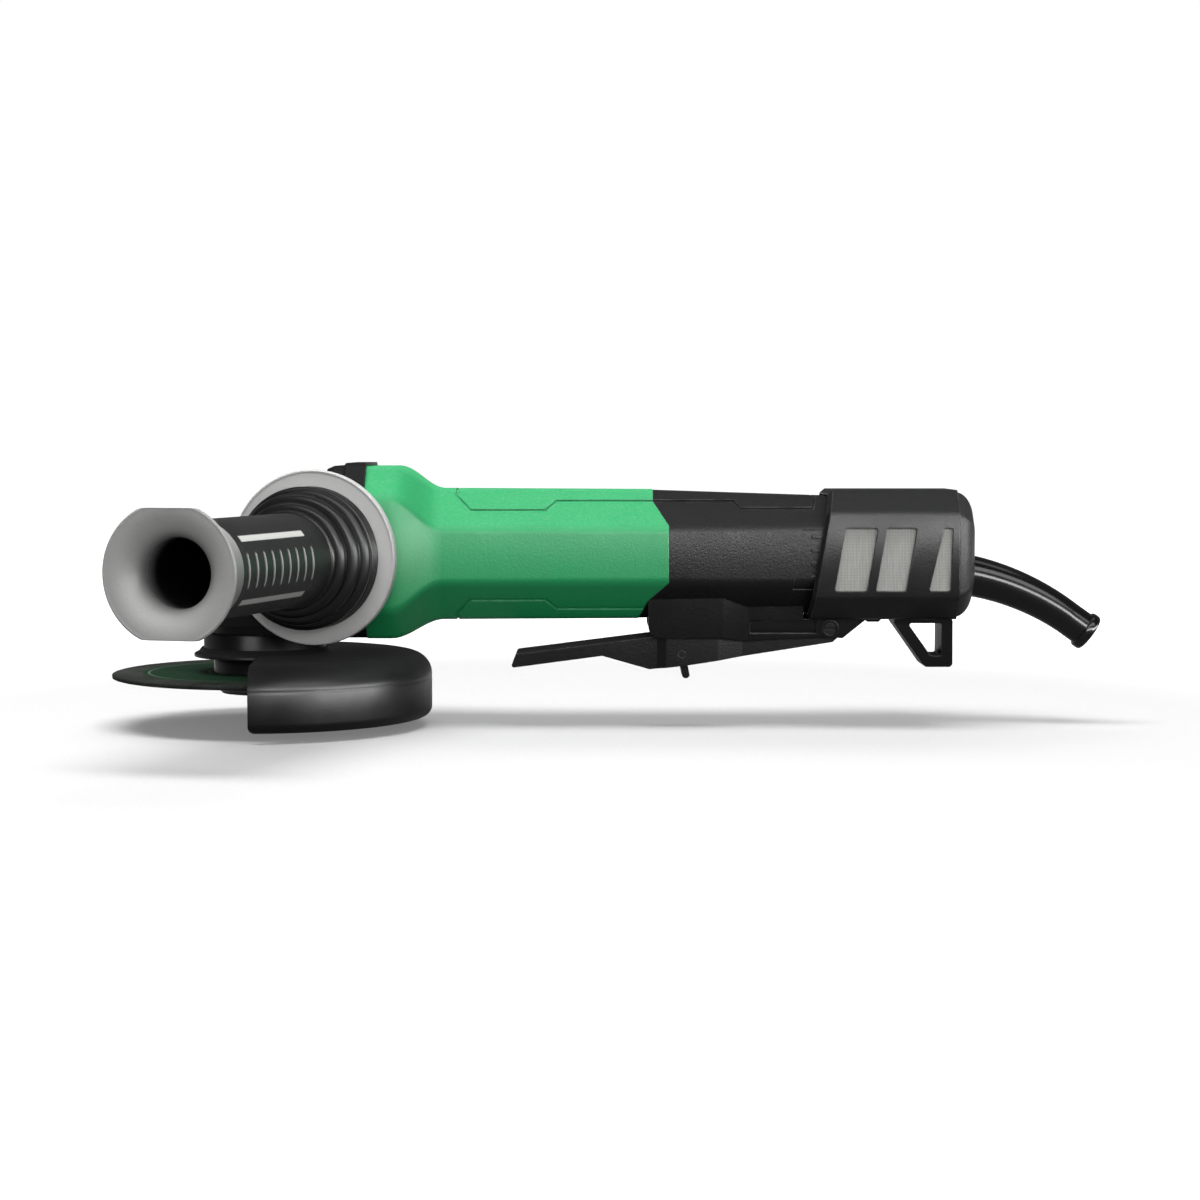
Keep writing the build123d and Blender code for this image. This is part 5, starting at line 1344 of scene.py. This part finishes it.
    def horn(self) -> Surface:
        """The horn: a bell mouth turned about the axis and flattened above and below.

        The outside's radius grows by line u + (1 - line) u^power for u from 0 to 1 along the horn, and the
        mouth's inside is a quarter ellipse from the rim to the bore. Heights past the flat are pressed back
        by z' = flat - s log(1 + exp((flat - |z|) / s)), which rounds the flats' edges, with its sign kept.

        Returns:
            The closed surface.
        """
        end, r, seat = self.horn_end, self.horn_radius, self.horn_end - self.horn_depth
        root, inner = self.grip_radius + self.horn_step, self.core_radius + self.core_gap
        outside = np.linspace(self.grip_end, end - 1.4, self.horn_rows)
        u = (outside - self.grip_end) / (end - self.grip_end)
        outside_r = root + (r - root) * (self.flare_line * u + (1 - self.flare_line) * u**self.flare_power)
        lip = soften([(r - 0.25, end - 1.3), (r, end - 0.6), (r - 0.5, end), (r - 1.1, end)], 0.4)[3:-3]
        share = np.linspace(1.0, 0.0, self.mouth_rows)
        turn = share * math.pi / 2
        inside_r = self.horn_bore + (self.horn_mouth - self.horn_bore) * (1 - np.cos(turn))
        inside = seat + self.horn_depth * np.sin(turn) - self.mouth_sink * share**4
        outline = np.concatenate((
            np.stack((outside_r, outside), axis=1), lip, np.stack((inside_r, inside), axis=1),
            np.array(((inner, seat), (inner, self.grip_end))),
        ))
        angle = round_angles(self.horn_steps)
        points = self.axes().place(outline[None, :, 0], angle, outline[None, :, 1])
        over = (self.horn_flat - np.abs(points[..., 2])) / self.horn_soft
        pressed = self.horn_flat - self.horn_soft * np.logaddexp(0.0, over)
        points[..., 2] = np.sign(points[..., 2]) * np.maximum(pressed, 0.0)
        return Surface.closed(points)

    def build(self, effects: Effects) -> None:
        """Builds and dresses the four pieces.

        Args:
            effects: The shared node groups.
        """
        for name, surface, finish, node, slot in (
            ("handle_ring", self.ring(), RING_PLASTIC, "handle_flange", "grey_plastic"),
            ("handle_ridges", self.damper(), SOFT_RUBBER, "handle_damper", "black_rubber"),
            ("handle_sleeve", self.grip(), GRIP_RUBBER, "handle_grip", "black_rubber"),
            ("handle_bell", self.horn(), SHADED_HORN_PLASTIC, "handle_horn", "grey_plastic"),
        ):
            set_piece(name, surface, finish.material(effects), Body.HOUSING, node)


@dataclass
class WheelGuard:
    """The sheet guard: plate, bend, grooved skirt with a rolled edge, and the flared lip round the neck."""

    radius: float = 69.0
    sheet: float = 1.8
    plate_top: float = -40.5
    low: float = -67.5
    bend: float = 9.0
    roll: float = 4.0
    half_angle: float = 88.0
    hole: float = 23.05
    band_wall: float = 2.0
    band_gap: float = 0.1
    lip: float = 29.0
    lip_rise: float = 2.0
    slope: float = 0.7
    corner: float = 3.0
    groove: float = 0.07
    groove_drop: float = 0.9
    groove_half: float = 0.55
    plate_rows: int = 24
    turn_rows: int = 20
    skirt_rows: int = 60
    round_steps: int = 180

    def skin(self, depth: float) -> np.ndarray:
        """The sheet's line in radius and height, moved inwards.

        The plate falls by slope towards the bend, the bend and the roll are quarter circles and the skirt
        between them is upright, less a groove exp(-(d / half)^2) for a distance d from the groove's level.

        Args:
            depth: How far below the outer face the line lies.

        Returns:
            Points from the hole to the rolled edge.
        """
        edge, roll = self.radius - self.bend, self.radius - self.roll
        plate_r = np.linspace(self.hole, edge, self.plate_rows, endpoint=False)
        plate_z = self.plate_top - depth - self.slope * ((plate_r - self.hole) / (edge - self.hole)) ** 2
        turn = np.linspace(0.0, math.pi / 2, self.turn_rows)
        bend = self.bend - depth
        middle = self.plate_top - self.slope - self.bend
        bend_r, bend_z = edge + bend * np.sin(turn), middle + bend * np.cos(turn)
        skirt_z = np.linspace(middle, self.low + self.roll, self.skirt_rows)[1:-1]
        off = (skirt_z - middle + self.groove_drop) / self.groove_half
        skirt_r = self.radius - depth - self.groove * np.exp(-off**2)
        curl = self.roll - depth
        roll_r, roll_z = roll + curl * np.cos(turn), self.low + self.roll - curl * np.sin(turn)
        return np.stack((np.concatenate((plate_r, bend_r, skirt_r, roll_r)),
                         np.concatenate((plate_z, bend_z, skirt_z, roll_z))), axis=1)

    def shell(self) -> Surface:
        """The half round shell: both faces of the sheet swept round the spindle, closed at the two ends.

        The sweep's half angle drops near the rolled edge by (c - sqrt(c^2 - (c - h)^2)) / radius for a height
        h above the edge that is under the corner radius c.

        Returns:
            The closed surface.
        """
        outline = np.concatenate((self.skin(0.0), self.skin(self.sheet)[::-1]))
        above = np.clip(self.corner - (outline[:, 1] - self.low), 0.0, self.corner)
        cut = (self.corner - np.sqrt(self.corner**2 - above**2)) / self.radius
        half = math.radians(self.half_angle) - cut
        angle = np.linspace(-1.0, 1.0, self.round_steps)[:, None] * half[None, :]
        return Surface.capped(SPINDLE_AXES.place(outline[None, :, 0], angle, outline[None, :, 1]))

    def brim(self) -> Surface:
        """The lip round the neck: a wedge that flares outwards and down, turned about the spindle.

        Returns:
            The closed surface.
        """
        top, low = self.plate_top, self.plate_top - self.sheet
        collar = self.hole + self.band_wall + self.band_gap
        outline = soften([
            (self.hole, low - 0.02), (self.hole, top + 0.01), (collar, top + 0.01),
            (collar, top + self.lip_rise), (collar + 0.8, top + self.lip_rise), (collar + 2.0, top + 0.35),
            (self.lip, top - 0.5), (self.lip, low - 0.02),
        ], 0.35)
        return turned(outline, SPINDLE_AXES)

    def build(self, effects: Effects) -> None:
        """Builds and dresses the guard.

        Args:
            effects: The shared node groups.
        """
        surface, material = self.shell().joined(self.brim()), SHEET_PAINT.material(effects)
        set_piece("guard_shell", surface, material, Body.GUARD, "wheel_guard")


@dataclass
class CuttingWheel:
    """The bonded disc, with a worn rim and a bevelled edge."""

    radius: float = 62.5
    bore: float = 11.115
    top: float = -48.9
    thick: float = 2.0
    waver: float = 0.3
    waver_from: float = 1.0
    waver_fade: float = 0.8
    flat_rows: int = 16
    round_steps: int = 480

    def surface(self) -> Surface:
        """The disc: a flat outline turned about the spindle, with a rim that wavers.

        Near the rim the radius is lowered by up to waver, by three sines of the angle with unequal counts.

        Returns:
            The closed surface.
        """
        r, top, low = self.radius, self.top, self.top - self.thick
        flat = np.linspace(self.bore + 0.4, r - 1.2, self.flat_rows)
        rim = soften([(r - 0.4, top), (r, top - 0.5), (r, low + 0.5), (r - 0.4, low)], 0.3, 4)[4:-4]
        hole = np.array(((self.bore, low + 0.3), (self.bore, top - 0.3)))
        up = np.stack((flat, np.full_like(flat, top)), axis=1)
        down = np.stack((flat[::-1], np.full_like(flat, low)), axis=1)
        outline = np.concatenate((hole, up, rim, down))
        angle = round_angles(self.round_steps)
        worn = 0.5 - (np.sin(37 * angle) + np.sin(61 * angle + 1.0) + np.sin(97 * angle + 2.2)) / 6.0
        near = fade(outline[None, :, 0], r - self.waver_from, self.waver_fade)
        radius = outline[None, :, 0] - self.waver * near * worn
        return Surface.closed(SPINDLE_AXES.place(radius, angle, outline[None, :, 1]))

    def build(self, effects: Effects) -> None:
        """Builds and dresses the disc.

        Args:
            effects: The shared node groups.
        """
        material = WHEEL.material(effects)
        set_piece("cutting_wheel", self.surface(), material, Body.SPINDLE, "cutting_disc")


@dataclass
class CordSleeve:
    """The cord's bend protection: a tapered, bent rubber tube with a collar at its free end.

    The mouth holds depths behind that end, with how much wider than the bore it is there.
    """

    exit_x: float = 294.0
    exit_z: float = -9.8
    drop: float = 12.4
    turn: float = 23.0
    bend: float = 105.0
    straight: float = 11.5
    root: float = -8.0
    root_radius: float = 8.4
    end_radius: float = 6.9
    collar_radius: float = 8.0
    collar: float = 4.0
    collar_gap: float = 0.8
    collar_power: float = 0.6
    bore: float = 4.2
    mouth: tuple[Span, ...] = ((0.0, 1.2), (0.15, 0.5), (0.8, 0.0), (12.0, 0.0))
    taper_rows: int = 90
    bead_rows: int = 15
    round_steps: int = 96

    def surface(self) -> Surface:
        """The tube: round sections carried out along the bent path and back through the bore.

        For a length s on the path, the heading is drop + turn clip(s / arc, 0, 1), and the point is the exit
        plus the straight or circular run to s. A section is point + r (cos a Y + sin a up), where up is
        square to the heading.

        Returns:
            The closed surface.
        """
        arc = self.bend * math.radians(self.turn)
        end = arc + self.straight
        taper = np.linspace(self.root, end - self.collar - self.collar_gap, self.taper_rows)
        taper_r = np.interp(taper, (0.0, arc), (self.root_radius, self.end_radius))
        half_turn = np.linspace(-math.pi / 2, math.pi / 2, self.bead_rows)
        bead = self.collar_radius - self.end_radius
        bead_s = end - self.collar / 2 + np.sin(half_turn) * self.collar / 2
        bead_r = self.end_radius + bead * np.cos(half_turn) ** self.collar_power
        depth, wider = np.array(self.mouth).T
        s = np.concatenate((taper, bead_s, end - depth, (self.root,)))
        radius = np.concatenate((taper_r, bead_r, self.bore + wider, (self.bore,)))
        bent = np.clip(s, 0.0, arc) / self.bend
        after = s - np.clip(s, 0.0, arc)
        x = self.bend * np.sin(bent) + np.where(s > 0, after * np.cos(bent), after)
        z = self.bend * (np.cos(bent) - 1) - np.where(s > 0, after * np.sin(bent), 0.0)
        drop = math.radians(self.drop)
        middle = np.stack((self.exit_x + x * math.cos(drop) + z * math.sin(drop), np.zeros_like(s),
                           self.exit_z - x * math.sin(drop) + z * math.cos(drop)), axis=1)
        up = np.stack((np.sin(drop + bent), np.zeros_like(s), np.cos(drop + bent)), axis=1)
        angle = round_angles(self.round_steps)[None]
        spread = np.cos(angle) * np.array((0.0, 1.0, 0.0)) + np.sin(angle) * up[:, None]
        return Surface.closed(middle[:, None] + radius[:, None, None] * spread)

    def build(self, effects: Effects) -> None:
        """Builds and dresses the sleeve.

        Args:
            effects: The shared node groups.
        """
        material = GLOSS_RUBBER.material(effects)
        set_piece("cord_sleeve", self.surface(), material, Body.HOUSING, "cord_guard")


@dataclass(frozen=True)
class Coil:
    """A coil spring about a line along Z, and how a joint presses it."""

    name: str
    node: str
    joint: str
    wire: float
    turns: int
    travel: float
    held_low: bool


@dataclass
class ReturnSprings:
    """The two springs that a joint presses: under the lock button and over the paddle."""

    coils: tuple[Coil, ...] = (
        Coil("lock_coil", "lock_spring", "lock_press", wire=0.35, turns=2, travel=3.5, held_low=True),
        Coil("paddle_coil", "paddle_spring", "paddle_squeeze", wire=0.5, turns=5, travel=1.6, held_low=False),
    )
    turn_rows: int = 64
    wire_steps: int = 12

    def surface(self, coil: Coil, low: np.ndarray, high: np.ndarray) -> Surface:
        """A round wire carried along a helix, with closed ends.

        The path is (r cos t, r sin t, rise t) about the box's middle. A section is path + wire (cos a out +
        sin a up), where out points away from the middle line and up is square to out and to the path.

        Args:
            coil: The spring.
            low: Its box's lowest corner, in working millimetres.
            high: Its box's highest corner.

        Returns:
            The closed surface.
        """
        t = np.linspace(0.0, 2 * math.pi * coil.turns, self.turn_rows * coil.turns)[:, None]
        r = (high[1] - low[1]) / 2 - coil.wire
        rise = (high[2] - low[2] - 2 * coil.wire) / t[-1, 0]
        out = np.concatenate((np.cos(t), np.sin(t), np.zeros_like(t)), axis=1)
        ahead = np.concatenate((-r * np.sin(t), r * np.cos(t), np.full_like(t, rise)), axis=1)
        up = np.cross(out, ahead) / math.hypot(r, rise)
        start = np.array(((low[0] + high[0]) / 2, (low[1] + high[1]) / 2, low[2] + coil.wire))
        path = start + r * out + rise * t * np.array((0.0, 0.0, 1.0))
        a = round_angles(self.wire_steps)[None]
        section = np.cos(a) * out[:, None] + np.sin(a) * up[:, None]
        return Surface.capped(path[:, None] + coil.wire * section)

    def build(self, effects: Effects) -> None:
        """Builds and dresses the springs.

        Args:
            effects: The shared node groups.
        """
        material = BRIGHT_STEEL.material(effects)
        for coil in self.coils:
            low, high = (np.array(corner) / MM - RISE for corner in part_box(coil.node))
            surface = self.surface(coil, low, high)
            made = set_piece(coil.name, surface, material, Body.HOUSING, coil.node)
            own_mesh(made)


def main() -> None:
    """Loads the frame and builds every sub-assembly in order."""
    logging.basicConfig(level=logging.INFO, format="%(name)s: %(message)s")
    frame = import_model()
    bpy.context.scene.view_settings.view_transform = "Standard"
    Studio().build()
    LOG.info("studio ready")
    effects = Effects()
    CarriedNodes().build(frame["nodes"], effects)
    for assembly in (SideHandle(), WheelGuard(), CuttingWheel(), CordSleeve(), ReturnSprings()):
        assembly.build(effects)


if __name__ == "__main__":
    main()
